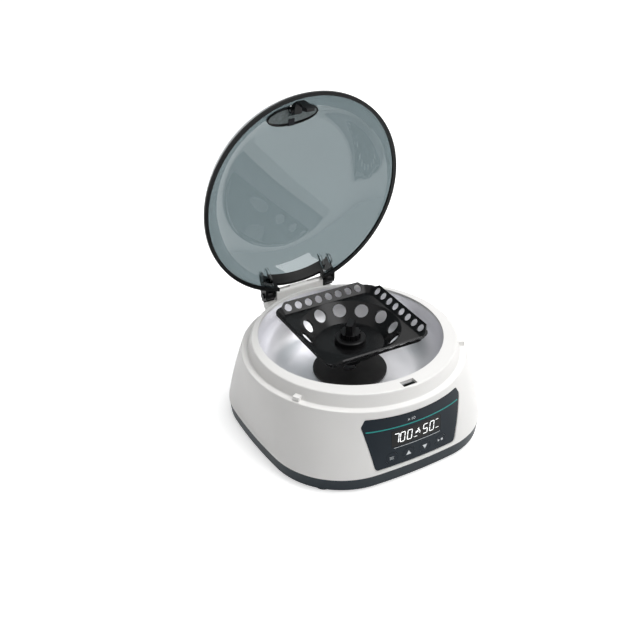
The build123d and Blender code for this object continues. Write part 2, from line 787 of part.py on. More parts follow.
# Chamber bowl: spun aluminium with a tapered side, a round corner and lugs for its screws
axis_plane = Plane(origin=(0, rotor_y, 0), x_dir=(1, 0, 0), z_dir=(0, -1, 0))
rotor_axis = Axis((0, rotor_y, 0), up)


def rotor_level(z):
    return Plane(origin=(0, rotor_y, z))


def bowl_section(grow):
    """Half of the bowl's inside in section, grown outwards by a wall."""
    radius = bowl_corner + grow
    middle = bowl_mouth - bowl_draft - bowl_corner
    corner_z = bowl_floor_z + bowl_corner
    bend = radius * sin(radians(45))
    floor_z = bowl_floor_z - grow
    with BuildSketch(axis_plane) as section:
        with BuildLine():
            Line((0, floor_z), (middle, floor_z))
            ThreePointArc((middle, floor_z), (middle + bend, corner_z - bend), (middle + radius, corner_z))
            Polyline((middle + radius, corner_z), (bowl_mouth + grow, bowl_top_z),
                     (0, bowl_top_z), (0, floor_z))
        make_face()
    return section.sketch


lug_foot = lug_reach - lug_boss_r / 2
with BuildPart() as chamber_bowl:
    revolve(bowl_section(bowl_wall), axis=rotor_axis)
    with BuildSketch(rotor_level(lug_z)):
        with PolarLocations(lug_reach - lug_foot / 2, len(lug_angles), start_angle=lug_angles[0]):
            Rectangle(lug_foot, lug_width)
    extrude(amount=lug_thickness)
    revolve(bowl_section(0), axis=rotor_axis, mode=Mode.SUBTRACT)
    with BuildSketch(rotor_level(lug_z)):
        with PolarLocations(lug_boss_r, len(lug_angles), start_angle=lug_angles[0]):
            Circle(screw_radius + screw_clearance)
    extrude(amount=lug_thickness, mode=Mode.SUBTRACT)
    with BuildSketch(rotor_level(bowl_floor_z - bowl_wall)):
        Circle(shaft_radius + shaft_hole_gap)
    extrude(amount=bowl_wall, mode=Mode.SUBTRACT)
save(chamber_bowl, "chamber_bowl")

with BuildPart() as chamber_pad:
    with BuildSketch(rotor_level(bowl_floor_z)):
        Circle(pad_radius)
        Circle(shaft_radius + shaft_hole_gap, mode=Mode.SUBTRACT)
    extrude(amount=pad_thickness)
    pad_edge = chamber_pad.edges().filter_by(GeomType.CIRCLE).group_by(Axis.Z)[-1].sort_by(SortBy.RADIUS)[-1]
    fillet(pad_edge, pad_thickness / 3)
save(chamber_pad, "chamber_pad")

lug_screw_places = [(lug_boss_r * cos(radians(a)), lug_boss_r * sin(radians(a))) for a in lug_angles]
with BuildPart() as bowl_screws:
    add(screws(lug_screw_places, rotor_level(lug_z), lug_thickness + lug_screw_bite))
save(bowl_screws, "bowl_screws")

# Strike plate under the ring, with the lip that the lid's hook catches
strike_z = bowl_top_z - strike_thickness
strike_front = slot_forward + slot_length / 2
strike_back = slot_forward - slot_length / 2 - strike_margin
with BuildPart() as strike_plate:
    with BuildSketch(case_plane.offset(strike_z)):
        Circle(ring_edge_radius - housing_wall - bowl_gap)
        with Locations((0, -strike_back)):
            Rectangle(strike_width, strike_depth, align=(Align.CENTER, Align.MAX), mode=Mode.INTERSECT)
        with Locations((0, -strike_front)):
            Rectangle(slot_width + 2 * window_gap, slot_length - strike_lip,
                      align=(Align.CENTER, Align.MIN), mode=Mode.SUBTRACT)
        with Locations(*strike_screw_places):
            Circle(small_screw_radius + screw_clearance, mode=Mode.SUBTRACT)
    extrude(amount=strike_thickness)
save(strike_plate, "strike_plate")

with BuildPart() as strike_screws:
    add(screws(strike_screw_places, case_plane.offset(strike_z),
               strike_thickness + strike_screw_bite - rest_gap,
               small_screw_radius, small_head_radius, small_head))
save(strike_screws, "strike_screws")

# Motor, its plate and rubber mounts
with BuildPart() as rubber_mounts:
    with BuildSketch(case_plane.offset(plate_z - mount_height)):
        with Locations(*mount_places):
            Circle(mount_radius)
    extrude(amount=mount_height)
    with BuildSketch(case_plane.offset(plate_z - (mount_height + mount_groove) / 2)):
        with Locations(*mount_places):
            Circle(mount_radius)
            Circle(mount_radius - mount_groove / 2, mode=Mode.SUBTRACT)
    extrude(amount=mount_groove, mode=Mode.SUBTRACT)
    with BuildSketch(case_plane.offset(plate_z)):
        with Locations(*mount_places):
            Circle(screw_radius + thread_gap)
    extrude(amount=-stud_bite, mode=Mode.SUBTRACT)
save(rubber_mounts, "rubber_mounts")

motor_screw_r = (motor_radius + motor_flange_radius) / 2
motor_screw_places = [(motor_screw_r * cos(radians(90 * i)), motor_screw_r * sin(radians(90 * i)))
                      for i in range(4)]
with BuildPart() as motor_plate:
    with BuildSketch(rotor_level(plate_z)):
        RectangleRounded(2 * plate_half, 2 * plate_half, mount_radius)
        Circle(motor_boss_radius + bowl_gap, mode=Mode.SUBTRACT)
        with Locations(*motor_screw_places):
            Circle(screw_radius + screw_clearance, mode=Mode.SUBTRACT)
        with GridLocations(2 * mount_offset, 2 * mount_offset, 2, 2):
            Circle(screw_radius + screw_clearance, mode=Mode.SUBTRACT)
    extrude(amount=plate_thickness)
save(motor_plate, "motor_plate")

with BuildPart() as mount_nuts:
    with BuildSketch(case_plane.offset(plate_z + plate_thickness)):
        with Locations(*mount_places):
            RegularPolygon(nut_radius, 6)
    extrude(amount=nut_height)
    with BuildSketch(case_plane.offset(plate_z - stud_bite + fit_gap)):
        with Locations(*mount_places):
            Circle(screw_radius)
    extrude(amount=stud_bite + plate_thickness + nut_height + stud_end)
save(mount_nuts, "mount_nuts")

lower_bearing_z = motor_bottom_z + motor_end
upper_bearing_z = plate_z + plate_thickness - motor_end / 2
can_floor_z = lower_bearing_z + bearing_width
can_top_z = plate_z - motor_flange
with BuildPart() as motor_can:
    with BuildSketch(rotor_level(motor_bottom_z)):
        Circle(motor_radius)
    extrude(amount=plate_z - motor_bottom_z)
    with BuildSketch(rotor_level(can_top_z)):
        Circle(motor_flange_radius)
    extrude(amount=motor_flange)
    with BuildSketch(rotor_level(plate_z)):
        Circle(motor_boss_radius)
    extrude(amount=motor_boss_top - plate_z)
    with BuildSketch(rotor_level(can_floor_z)):
        Circle(motor_radius - motor_wall)
    extrude(amount=can_top_z - can_floor_z, mode=Mode.SUBTRACT)
    with BuildSketch(rotor_level(motor_bottom_z)):
        Circle(shaft_radius + shaft_hole_gap)
    extrude(amount=motor_boss_top, mode=Mode.SUBTRACT)
    for z in (lower_bearing_z, upper_bearing_z):
        with BuildSketch(rotor_level(z)):
            Circle(bearing_radius + fit_gap)
        extrude(amount=bearing_width, mode=Mode.SUBTRACT)
    with BuildSketch(rotor_level(can_top_z)):
        with Locations(*motor_screw_places):
            Circle(screw_radius + thread_gap)
    extrude(amount=motor_flange, mode=Mode.SUBTRACT)
save(motor_can, "motor_can")

with BuildPart() as motor_screws:
    plate_top = Plane(origin=(0, rotor_y, plate_z + plate_thickness), x_dir=(1, 0, 0), z_dir=(0, 0, -1))
    add(screws(motor_screw_places, plate_top, plate_thickness + motor_flange))
save(motor_screws, "motor_screws")

for name, z in (("lower_bearing", lower_bearing_z), ("upper_bearing", upper_bearing_z)):
    with BuildPart() as bearing:
        with BuildSketch(rotor_level(z)):
            Circle(bearing_radius)
            Circle(shaft_radius + fit_gap, mode=Mode.SUBTRACT)
        extrude(amount=bearing_width)
        for face_z in (z, z + bearing_width - bearing_groove):
            with BuildSketch(rotor_level(face_z)):
                Circle(bearing_radius - bearing_race)
                Circle(shaft_radius + bearing_race, mode=Mode.SUBTRACT)
            extrude(amount=bearing_groove, mode=Mode.SUBTRACT)
    save(bearing, name)

stator_mid_z = (can_floor_z + can_top_z) / 2
stator_half_height = (can_top_z - can_floor_z) / 2 - stator_room
stator_outer = motor_radius - motor_wall - fit_gap
yoke_inner = stator_outer - stator_yoke
tooth_length = yoke_inner + stator_yoke / 2 - stator_inner
with BuildPart() as stator_core:
    with BuildSketch(rotor_level(stator_mid_z - stator_half_height + coil_end)):
        Circle(stator_outer)
        Circle(yoke_inner, mode=Mode.SUBTRACT)
        with PolarLocations(stator_inner + tooth_length / 2, stator_teeth):
            Rectangle(tooth_length, tooth_width)
    extrude(amount=2 * (stator_half_height - coil_end))
save(stator_core, "stator_core")

coil_reach = yoke_inner - stator_inner - 2 * coil_gap
with BuildPart() as stator_coils:
    with BuildSketch(rotor_level(stator_mid_z - stator_half_height)):
        with PolarLocations(stator_inner + coil_gap + coil_reach / 2, stator_teeth):
            Rectangle(coil_reach, coil_width)
    extrude(amount=2 * stator_half_height)
    fillet(stator_coils.edges().filter_by(Axis.Z), coil_gap)
    with BuildSketch(rotor_level(stator_mid_z - stator_half_height + coil_end)):
        with PolarLocations(stator_inner + coil_gap + coil_reach / 2, stator_teeth):
            Rectangle(coil_reach + coil_gap, tooth_width + 2 * fit_gap)
    extrude(amount=2 * (stator_half_height - coil_end), mode=Mode.SUBTRACT)
save(stator_coils, "stator_coils")

with BuildPart() as magnet_rotor:
    with BuildSketch(rotor_level(stator_mid_z - stator_half_height)):
        Circle(magnet_radius)
    extrude(amount=2 * stator_half_height)
    chamfer(magnet_rotor.edges().filter_by(GeomType.CIRCLE), magnet_chamfer)
    with BuildSketch(rotor_level(stator_mid_z - stator_half_height)):
        Circle(shaft_radius + fit_gap)
    extrude(amount=2 * stator_half_height, mode=Mode.SUBTRACT)
save(magnet_rotor, "magnet_rotor")

# Rotor: tray, knob and the shaft that carries them
knob_top_z = dish_floor_z + knob_flange_height + knob_grip_height
with BuildPart() as drive_shaft:
    with BuildSketch(rotor_level(lower_bearing_z)):
        Circle(shaft_radius)
    extrude(amount=shaft_shoulder_z - lower_bearing_z)
    with BuildSketch(rotor_level(shaft_shoulder_z)):
        Circle(shaft_tip_radius)
    extrude(amount=knob_top_z - knob_roof - fit_gap - shaft_shoulder_z)
    shaft_ends = drive_shaft.edges().filter_by(GeomType.CIRCLE).group_by(Axis.Z)
    chamfer(shaft_ends[0] + shaft_ends[-1], shaft_chamfer)
save(drive_shaft, "drive_shaft")

dish_foot = dish_radius - (tray_top_z - dish_floor_z)
tube_z = tray_top_z - (dish_radius - tube_pitch_radius)


def tube_plane(angle):
    """The plane of a tube hole on the dish's cone, facing up and in."""
    a = radians(angle)
    origin = rotor_plane.from_local_coords((tube_pitch_radius * cos(a), tube_pitch_radius * sin(a), tube_z))
    return Plane(origin=origin, z_dir=rotor_plane.x_dir * -cos(a) + rotor_plane.y_dir * -sin(a) + Vector(up))


def flap_plane(turn):
    """The inner face of a flap: sketch x runs along the tray's edge and sketch y up the slope."""
    a = radians(turn)
    side = rotor_plane.x_dir * cos(a) + rotor_plane.y_dir * sin(a)
    out = rotor_plane.x_dir * sin(a) - rotor_plane.y_dir * cos(a)
    foot = Vector(0, rotor_y, tray_top_z) + out * (dish_radius + flap_step)
    return Plane(origin=foot, x_dir=-side, z_dir=Vector(up) - out)


def tray_flare(grow):
    """The tray's mouth as a solid: a rounded square that widens as it rises from the tray's top."""
    with BuildPart() as flare:
        for rise in (0, corner_rise):
            with BuildSketch(rotor_plane.offset(tray_top_z + rise)):
                half = rim_foot_half + grow + rise
                RectangleRounded(2 * half, 2 * half, tray_corner - rim_spread + grow + rise)
        loft(ruled=True)
    return flare.part


with BuildPart() as rotor_tray:
    with BuildSketch(rotor_plane.offset(tray_top_z - tray_thickness)):
        RectangleRounded(2 * tray_half, 2 * tray_half, tray_corner)
    extrude(amount=tray_thickness)
    chamfer(rotor_tray.edges().group_by(Axis.Z)[0], tray_thickness / 3)
    add(tray_flare(rim_spread))
    add(tray_flare(0), mode=Mode.SUBTRACT)
    slope_wall = dish_wall * (sqrt(2) - 1)
    with BuildSketch(axis_plane):
        Polygon((0, dish_floor_z - dish_wall), (dish_foot + slope_wall, dish_floor_z - dish_wall),
                (dish_radius + slope_wall + dish_wall, tray_top_z), (0, tray_top_z), align=None)
    revolve(axis=rotor_axis)
    with BuildSketch(rotor_level(hub_bottom_z)):
        Circle(hub_radius)
    extrude(amount=dish_floor_z - hub_bottom_z)
    for i in range(4):
        with BuildSketch(flap_plane(90 * i)):
            Polygon((-flap_half_width, -flap_thickness), (flap_half_width, -flap_thickness),
                    (flap_half_width, flap_height - flap_chamfer),
                    (flap_half_width - flap_chamfer, flap_height),
                    (flap_chamfer - flap_half_width, flap_height),
                    (-flap_half_width, flap_height - flap_chamfer), align=None)
        extrude(amount=-flap_thickness)
        with BuildSketch(flap_plane(90 * i)):
            with Locations((0, flap_height / 2)):
                with GridLocations(strip_pitch, 0, strip_count, 1):
                    Circle(strip_hole_radius)
        extrude(amount=-2 * flap_thickness, mode=Mode.SUBTRACT)
    with BuildSketch(axis_plane):
        Polygon((0, dish_floor_z), (dish_foot, dish_floor_z), (dish_radius, tray_top_z), (0, tray_top_z),
                align=None)
    revolve(axis=rotor_axis, mode=Mode.SUBTRACT)
    for i in range(tube_count):
        with BuildSketch(tube_plane(360 / tube_count * (i + 0.5))):
            Circle(tube_radius)
        extrude(amount=2 * dish_wall, both=True, mode=Mode.SUBTRACT)
    with BuildSketch(rotor_level(hub_bottom_z)):
        Circle(shaft_radius + fit_gap)
    extrude(amount=shaft_shoulder_z - hub_bottom_z, mode=Mode.SUBTRACT)
    with BuildSketch(rotor_level(shaft_shoulder_z)):
        Circle(shaft_tip_radius + fit_gap)
    extrude(amount=dish_floor_z - shaft_shoulder_z, mode=Mode.SUBTRACT)
save(rotor_tray, "rotor_tray")

with BuildPart() as rotor_knob:
    with BuildSketch(rotor_plane.offset(dish_floor_z)):
        Circle(knob_flange_radius)
    extrude(amount=knob_flange_height)
    chamfer(rotor_knob.edges().filter_by(GeomType.CIRCLE).group_by(Axis.Z)[-1], knob_chamfer)
    with BuildSketch(rotor_plane.offset(dish_floor_z + knob_flange_height)):
        Circle(knob_grip_radius)
        with PolarLocations(knob_grip_radius, knob_flutes):
            Circle(knob_flute_radius, mode=Mode.SUBTRACT)
    extrude(amount=knob_grip_height)
    with BuildSketch(rotor_plane.offset(knob_top_z)):
        RectangleRounded(knob_wing_length, knob_wing_width, knob_chamfer * 2, rotation=knob_turn)
    extrude(amount=knob_wing_height, taper=knob_wing_taper)
    with BuildSketch(rotor_plane.offset(dish_floor_z)):
        Circle(shaft_tip_radius + fit_gap)
    extrude(amount=knob_top_z - knob_roof - dish_floor_z, mode=Mode.SUBTRACT)
save(rotor_knob, "rotor_knob")

# Lid: black rim, band and arms round a smoked dome
pad_lean = asin((scoop_forward - corner_r) / dome_corner)
pad_height = corner_h + dome_corner * cos(pad_lean)
pad_plane = Plane(origin=lid_plane.from_local_coords((0, -scoop_forward, pad_height)), x_dir=(1, 0, 0),
                  z_dir=lid_plane.z_dir * cos(pad_lean) - lid_plane.y_dir * sin(pad_lean))
hinge_place = (hinge_back, hinge_h)
dome_outer = dome_solid(0)
dome_inner = dome_solid(-dome_wall)
arm_foot_h = hinge_h - knuckle_radius
heel_drop = shoe_drop - stop_gap
skirt_half = arm_inner - skirt_gap

with BuildPart() as lid_room:
    add(dome_solid(running_gap))
    with BuildSketch(lid_plane):
        Circle(rim_inner_radius)
    extrude(amount=rim_height)

with BuildPart() as lid_frame:
    with BuildSketch(lid_plane):
        Circle(rim_outer_radius)
        Circle(rim_inner_radius, mode=Mode.SUBTRACT)
    extrude(amount=rim_height)
    with BuildPart(mode=Mode.PRIVATE) as band:
        add(dome_outer)
        add(dome_inner, mode=Mode.SUBTRACT)
        block((-arm_inner, band_front, 0), (arm_inner, rim_outer_radius, band_height), Mode.INTERSECT,
              lid_plane)
    add(band.part)
    for side in (-1, 1):
        for x in (side * arm_inner, side * (arm_outer - arm_rib)):
            with BuildPart(mode=Mode.PRIVATE) as rib:
                with BuildSketch(across(lid_plane, x)):
                    with Locations(hinge_place):
                        Circle(knuckle_radius)
                    Polygon((arm_front, rim_height), (hinge_back, arm_foot_h),
                            (hinge_back + knuckle_radius * sin(radians(arm_slope)),
                             hinge_h + knuckle_radius * cos(radians(arm_slope))),
                            (arm_front, arm_rise), align=None)
                extrude(amount=side * arm_rib)
                add(lid_room.part, mode=Mode.SUBTRACT)
            add(rib.part)
        with BuildPart(mode=Mode.PRIVATE) as web:
            with BuildSketch(across(lid_plane, side * arm_inner)):
                Polygon((arm_front, arm_rise - arm_rib), (hinge_back, arm_foot_h + arm_rib),
                        (hinge_back + knuckle_radius * sin(radians(arm_slope)) - arm_rib / 2,
                         hinge_h + knuckle_radius * cos(radians(arm_slope)) - arm_rib / 2),
                        (arm_front, arm_rise - arm_rib / 2), align=None)
            extrude(amount=side * (arm_outer - arm_inner))
            add(lid_room.part, mode=Mode.SUBTRACT)
        add(web.part)
        # knuckle with its heel, which stands on the shoe when the lid is open
        with BuildSketch(across(hinge_plane, side * arm_inner)):
            Circle(knuckle_radius)
            Polygon((-heel_front, -heel_drop), (heel_back, -heel_drop),
                    (heel_back, 0), (-heel_front, 0), align=None)
        extrude(amount=side * (arm_outer - arm_inner))
        with BuildSketch(across(hinge_plane, side * arm_inner)):
            Circle(hinge_pin_radius + running_gap)
        extrude(amount=side * (arm_outer - arm_inner), mode=Mode.SUBTRACT)
    block((-skirt_half, skirt_flat, 0), (skirt_half, hinge_back, band_height), Mode.SUBTRACT, lid_plane)
    block((-notch_half, band_front, 0), (notch_half, hinge_back, notch_height), Mode.SUBTRACT, lid_plane)
save(lid_frame, "lid_frame")

with BuildPart() as lid_ribs:
    for side in (-1, 1):
        for x in (arm_inner, arm_outer - arm_rib):
            low = min(side * x, side * (x + arm_rib))
            block((low, rib_front, rib_bottom), (low + arm_rib, rim_outer_radius, rib_top), plane=lid_plane)
    add(dome_inner, mode=Mode.INTERSECT)
    add(dome_solid(-dome_wall - rib_depth), mode=Mode.SUBTRACT)

with BuildPart() as lid_dome:
    add(dome_outer)
    add(dome_inner, mode=Mode.SUBTRACT)
    add(lid_ribs.part)
    block((-arm_inner, band_front, 0), (arm_inner, rim_outer_radius, band_height), Mode.SUBTRACT, lid_plane)
    with BuildSketch(pad_plane):
        Ellipse(scoop_half_width + collar_wall + running_gap, scoop_half_length + collar_wall + running_gap)
    extrude(amount=dome_corner / 4, both=True, mode=Mode.SUBTRACT)
save(lid_dome, "lid_dome")



def under_dome(forward, depth):
    """A point in the lid's upright middle plane, this far below the dome's outer face."""
    return -forward, corner_h + sqrt(dome_corner ** 2 - (forward - corner_r) ** 2) - depth


# Finger pad collar with the two ears for the lever's pin
pin_place = under_dome(lever_pin_forward, lever_pin_sink)
pin_y, pin_h = pin_place
with BuildPart() as lever_collar:
    with BuildSketch(pad_plane.offset(-collar_depth)):
        Ellipse(scoop_half_width + collar_wall, scoop_half_length + collar_wall)
        Ellipse(scoop_half_width, scoop_half_length, mode=Mode.SUBTRACT)
    extrude(amount=2 * collar_depth)
    add(dome_solid(collar_proud), mode=Mode.INTERSECT)
    # the lever's arm passes under the front wall
    block((-lever_half_width - ear_gap, -scoop_half_length - 2 * collar_wall, -collar_depth),
          (lever_half_width + ear_gap, 0, -arm_window), Mode.SUBTRACT, pad_plane)
    for side in (-1, 1):
        with BuildSketch(across(lid_plane, side * (lever_half_width + ear_gap))):
            with Locations(pin_place):
                Circle(ear_radius)
            Polygon((pin_y - ear_radius, pin_h), (pin_y + ear_radius, pin_h),
                    under_dome(lever_pin_forward - ear_shoulder, ear_shoulder_sink),
                    under_dome(lever_pin_forward + ear_lean, ear_lean_sink), align=None)
        extrude(amount=side * ear_thickness)
        with BuildSketch(across(lid_plane, side * (lever_half_width + ear_gap))):
            with Locations(pin_place):
                Circle(lever_pin_radius + fit_gap)
        extrude(amount=side * ear_thickness, mode=Mode.SUBTRACT)
save(lever_collar, "lever_collar")

arm_top = [under_dome(slot_forward - back, depth) for back, depth in zip(arm_backs, arm_depths)]
catch_h = strike_z - lid_closed_z - hook_gap
hook_y = hook_back - slot_forward
nose_y = hook_y + hook_nose
front_y = -slot_forward - hook_front
hook_bottom = catch_h - hook_height
with BuildPart() as release_lever:
    with BuildSketch(pad_plane):
        Ellipse(scoop_half_width - finger_pad_side_gap, scoop_half_length - finger_pad_gap)
    extrude(amount=dome_corner / 4, both=True)
    add(dome_solid(-pad_sink), mode=Mode.INTERSECT)
    add(dome_solid(-pad_sink - finger_pad_thickness), mode=Mode.SUBTRACT)
    with BuildSketch(across(lid_plane, -lever_half_width)):
        Polygon(*arm_top, (front_y, catch_h + hook_neck),
                (front_y, hook_bottom), (hook_y + hook_toe, hook_bottom),
                (nose_y, catch_h - hook_nose_flat), (nose_y, catch_h), (hook_y, catch_h),
                (hook_y, catch_h + hook_neck), (pin_y - lever_boss_radius, pin_h - arm_front_drop),
                (pin_y + lever_boss_radius, pin_h - lever_boss_radius),
                (pin_y + arm_root, pin_h - arm_root_drop), align=None)
        with Locations(pin_place):
            Circle(lever_boss_radius)
            Circle(lever_pin_radius + running_gap, mode=Mode.SUBTRACT)
    extrude(amount=2 * lever_half_width)
save(release_lever, "release_lever")

with BuildPart() as lever_pin:
    with BuildSketch(across(lid_plane, -lever_half_width - ear_gap - ear_thickness)):
        with Locations(pin_place):
            Circle(lever_pin_radius)
    extrude(amount=2 * (lever_half_width + ear_gap + ear_thickness))
save(lever_pin, "lever_pin")

leaf_foot = scoop_half_length + collar_wall
with BuildPart() as lever_spring:
    with BuildSketch(across(pad_plane, -leaf_half_width)):
        Polygon((leaf_foot, -collar_depth), (leaf_foot, -collar_depth - leaf_thickness),
                (scoop_half_length, -collar_depth - leaf_thickness),
                (leaf_tip, -leaf_tip_depth - leaf_thickness),
                (leaf_tip, -leaf_tip_depth), (scoop_half_length, -collar_depth), align=None)
    extrude(amount=2 * leaf_half_width)
save(lever_spring, "lever_spring")

with BuildPart() as hinge_pins:
    for side in (-1, 1):
        with BuildSketch(across(hinge_plane, side * hinge_pin_inner)):
            Circle(hinge_pin_radius)
        extrude(amount=side * (arm_outer + running_gap - hinge_pin_inner))
        with BuildSketch(across(hinge_plane, side * (arm_outer + running_gap))):
            Circle(hinge_head_radius)
        extrude(amount=side * hinge_head)
save(hinge_pins, "hinge_pins")

# Control panel: the printed film, the lens, the display and the four keys on their board
film_face = case_form(film_sink)
film_back = case_form(film_sink + film_thickness)
panel_reach = case_reach - board_front
with BuildPart() as panel_film:
    with BuildSketch(facing_front(-board_front)):
        panel_outline(0)
        with Locations((0, display_mid_z)):
            Rectangle(2 * (display_half_width + window_gap),
                      display_height + 2 * window_gap, mode=Mode.SUBTRACT)
        with Locations(*key_places):
            Circle(key_radius + key_gap, mode=Mode.SUBTRACT)
    extrude(amount=panel_reach)
    add(film_face, mode=Mode.INTERSECT)
    add(film_back, mode=Mode.SUBTRACT)
save(panel_film, "panel_film")

with BuildPart() as display_cover:
    with BuildSketch(facing_front(-board_front)):
        with Locations((0, display_mid_z)):
            Rectangle(2 * display_half_width, display_height)
    extrude(amount=panel_reach)
    add(film_face, mode=Mode.INTERSECT)
    add(case_form(display_lens + film_sink), mode=Mode.SUBTRACT)
save(display_cover, "display_cover")

with BuildPart() as display_module:
    with BuildSketch(facing_front(-board_front)):
        with Locations((0, display_mid_z)):
            Rectangle(2 * module_half_width, display_height + 2 * module_margin)
    extrude(amount=display_module_depth)
save(display_module, "display_module")

with BuildPart() as control_board:
    with BuildSketch(facing_front(board_thickness - board_front)):
        with Locations((0, board_bottom_z)):
            Rectangle(2 * board_half_width, board_top_z - board_bottom_z, align=(Align.CENTER, Align.MIN))
        with Locations(*board_screw_places):
            Circle(screw_radius + screw_clearance, mode=Mode.SUBTRACT)
    extrude(amount=board_thickness)
save(control_board, "control_board")

with BuildPart() as board_screws:
    add(screws(board_screw_places, facing_front(board_thickness - board_front),
               board_thickness + board_screw_bite))
save(board_screws, "board_screws")

with BuildPart() as key_switches:
    with BuildSketch(facing_front(-board_front)):
        with Locations(*key_places):
            Rectangle(switch_body, switch_body)
    extrude(amount=switch_height)
    with BuildSketch(facing_front(-board_front - switch_height)):
        with Locations(*key_places):
            Circle(switch_button)
    extrude(amount=switch_button_height)
save(key_switches, "key_switches")

stem_back = board_front + switch_height + switch_button_height + key_travel + key_slack
for i, place in enumerate(key_places):
    with BuildPart() as key:
        with BuildSketch(facing_front(-key_flange_back)):
            with Locations(place):
                Circle(key_radius)
        extrude(amount=panel_reach)
        add(film_face, mode=Mode.INTERSECT)
        with BuildSketch(facing_front(-key_flange_back)):
            with Locations(place):
                Circle(key_flange_radius)
        extrude(amount=key_flange)
        with BuildSketch(facing_front(-stem_back)):
            with Locations(place):
                Circle(switch_button)
        extrude(amount=key_flange_back - stem_back)
    save(key, f"key_{i + 1}")

# Motor's board on the base, with its parts
drive_plane = case_plane.offset(drive_board_z)
drive_screw_places = [(sx * drive_screw_x, sy * drive_screw_y - drive_board_forward)
                      for sx in (-1, 1) for sy in (-1, 1)]
with BuildPart() as drive_board:
    with BuildSketch(drive_plane):
        with Locations((0, -drive_board_forward)):
            Rectangle(2 * drive_board_half_x, 2 * drive_board_half_y)
        with Locations(*drive_screw_places):
            Circle(small_screw_radius + screw_clearance, mode=Mode.SUBTRACT)
    extrude(amount=board_thickness)
save(drive_board, "drive_board")

with BuildPart() as drive_parts:
    with BuildSketch(drive_plane.offset(board_thickness)):
        with Locations((-capacitor_pitch, -drive_board_forward), (0, -drive_board_forward)):
            Circle(capacitor_radius)
    extrude(amount=capacitor_height)
    fillet(drive_parts.edges().group_by(Axis.Z)[-1], foot_chamfer)
    with BuildSketch(drive_plane.offset(board_thickness)):
        with Locations((capacitor_pitch, -drive_board_forward)):
            Rectangle(chip_width, chip_length)
    extrude(amount=chip_height)
save(drive_parts, "drive_parts")

with BuildPart() as drive_screws:
    board_top = Plane(origin=(0, case_y, drive_board_z + board_thickness), x_dir=(1, 0, 0), z_dir=(0, 0, -1))
    add(screws([(x, -y) for x, y in drive_screw_places],
               board_top, board_thickness + small_screw_bite - fit_gap,
               small_screw_radius, small_head_radius, small_head))
save(drive_screws, "drive_screws")

# Power switch and low voltage inlet on the back
rocker_plane = Plane(origin=(-power_x, case_y + recess_face - rocker_pivot_in, power_z))
with BuildPart() as switch_bezel:
    with BuildSketch(facing_front(recess_face + bezel_thickness)):
        with Locations((-power_x, power_z)):
            RectangleRounded(2 * bezel_half_width, 2 * bezel_half_height, bezel_thickness)
    extrude(amount=bezel_thickness)
    with BuildSketch(facing_front(recess_face)):
        with Locations((-power_x, power_z)):
            Rectangle(2 * (bezel_hole_x - window_gap), 2 * (bezel_hole_z - window_gap))
    extrude(amount=switch_depth)
    with BuildSketch(facing_front(recess_face + bezel_thickness)):
        with Locations((-power_x, power_z)):
            Rectangle(2 * (rocker_half_width + rocker_gap), 2 * rocker_room)
    extrude(amount=bezel_thickness + rocker_pivot_in + rocker_hub_radius + rocker_gap, mode=Mode.SUBTRACT)
    with BuildSketch(across(rocker_plane, -bezel_hole_x)):
        Circle(rocker_axle_radius + running_gap)
    extrude(amount=2 * bezel_hole_x, mode=Mode.SUBTRACT)
save(switch_bezel, "switch_bezel")

rocker_side = Plane(origin=rocker_plane.from_local_coords((-rocker_half_width, 0, 0)),
                    x_dir=(0, cos(radians(rocker_tilt)), sin(radians(rocker_tilt))), z_dir=(1, 0, 0))
with BuildPart() as power_rocker:
    with BuildSketch(rocker_side):
        Circle(rocker_hub_radius)
        Polygon((0, -rocker_half_height),
                (rocker_rise, -rocker_half_height), (rocker_rise - rocker_valley, 0),
                (rocker_rise, rocker_half_height), (0, rocker_half_height), align=None)
    extrude(amount=2 * rocker_half_width)
    axle_reach = bezel_hole_x - window_gap
    with BuildSketch(rocker_side.offset(rocker_half_width - axle_reach)):
        Circle(rocker_axle_radius)
    extrude(amount=2 * axle_reach)
save(power_rocker, "power_rocker")

with BuildPart() as power_jack:
    with BuildSketch(facing_front(recess_face + jack_nut + jack_proud)):
        with Locations((power_x, power_z)):
            Circle(jack_radius)
    extrude(amount=jack_nut + jack_proud + housing_wall)
    with BuildSketch(facing_front(recess_face + jack_nut)):
        with Locations((power_x, power_z)):
            RegularPolygon(jack_nut_radius, 6)
    extrude(amount=jack_nut)
    with BuildSketch(facing_front(recess_face - housing_wall)):
        with Locations((power_x, power_z)):
            Rectangle(2 * jack_nut_radius, 2 * jack_nut_radius)
    extrude(amount=jack_depth)
    with BuildSketch(facing_front(recess_face + jack_nut + jack_proud)):
        with Locations((power_x, power_z)):
            Circle(jack_bore)
    extrude(amount=jack_depth, mode=Mode.SUBTRACT)
save(power_jack, "power_jack")

with BuildPart() as jack_pin:
    with BuildSketch(facing_front(recess_face + jack_nut + jack_proud - jack_pin_sink)):
        with Locations((power_x, power_z)):
            Circle(jack_pin_radius)
    extrude(amount=jack_depth - jack_pin_sink)
save(jack_pin, "jack_pin")
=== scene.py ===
"""A high-speed bench centrifuge, standing open on a pale table.

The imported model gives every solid. This file gives each one its finish, prints the control panel, adds the
small fittings, and sets the stage. Lengths are metres: +X is the operator's right and the panel faces -Y.
"""
from math import cos, pi, radians, sin

import bmesh
import bpy
from bpy.props import FloatProperty, FloatVectorProperty, IntProperty, PointerProperty
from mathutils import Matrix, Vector
from mathutils.bvhtree import BVHTree


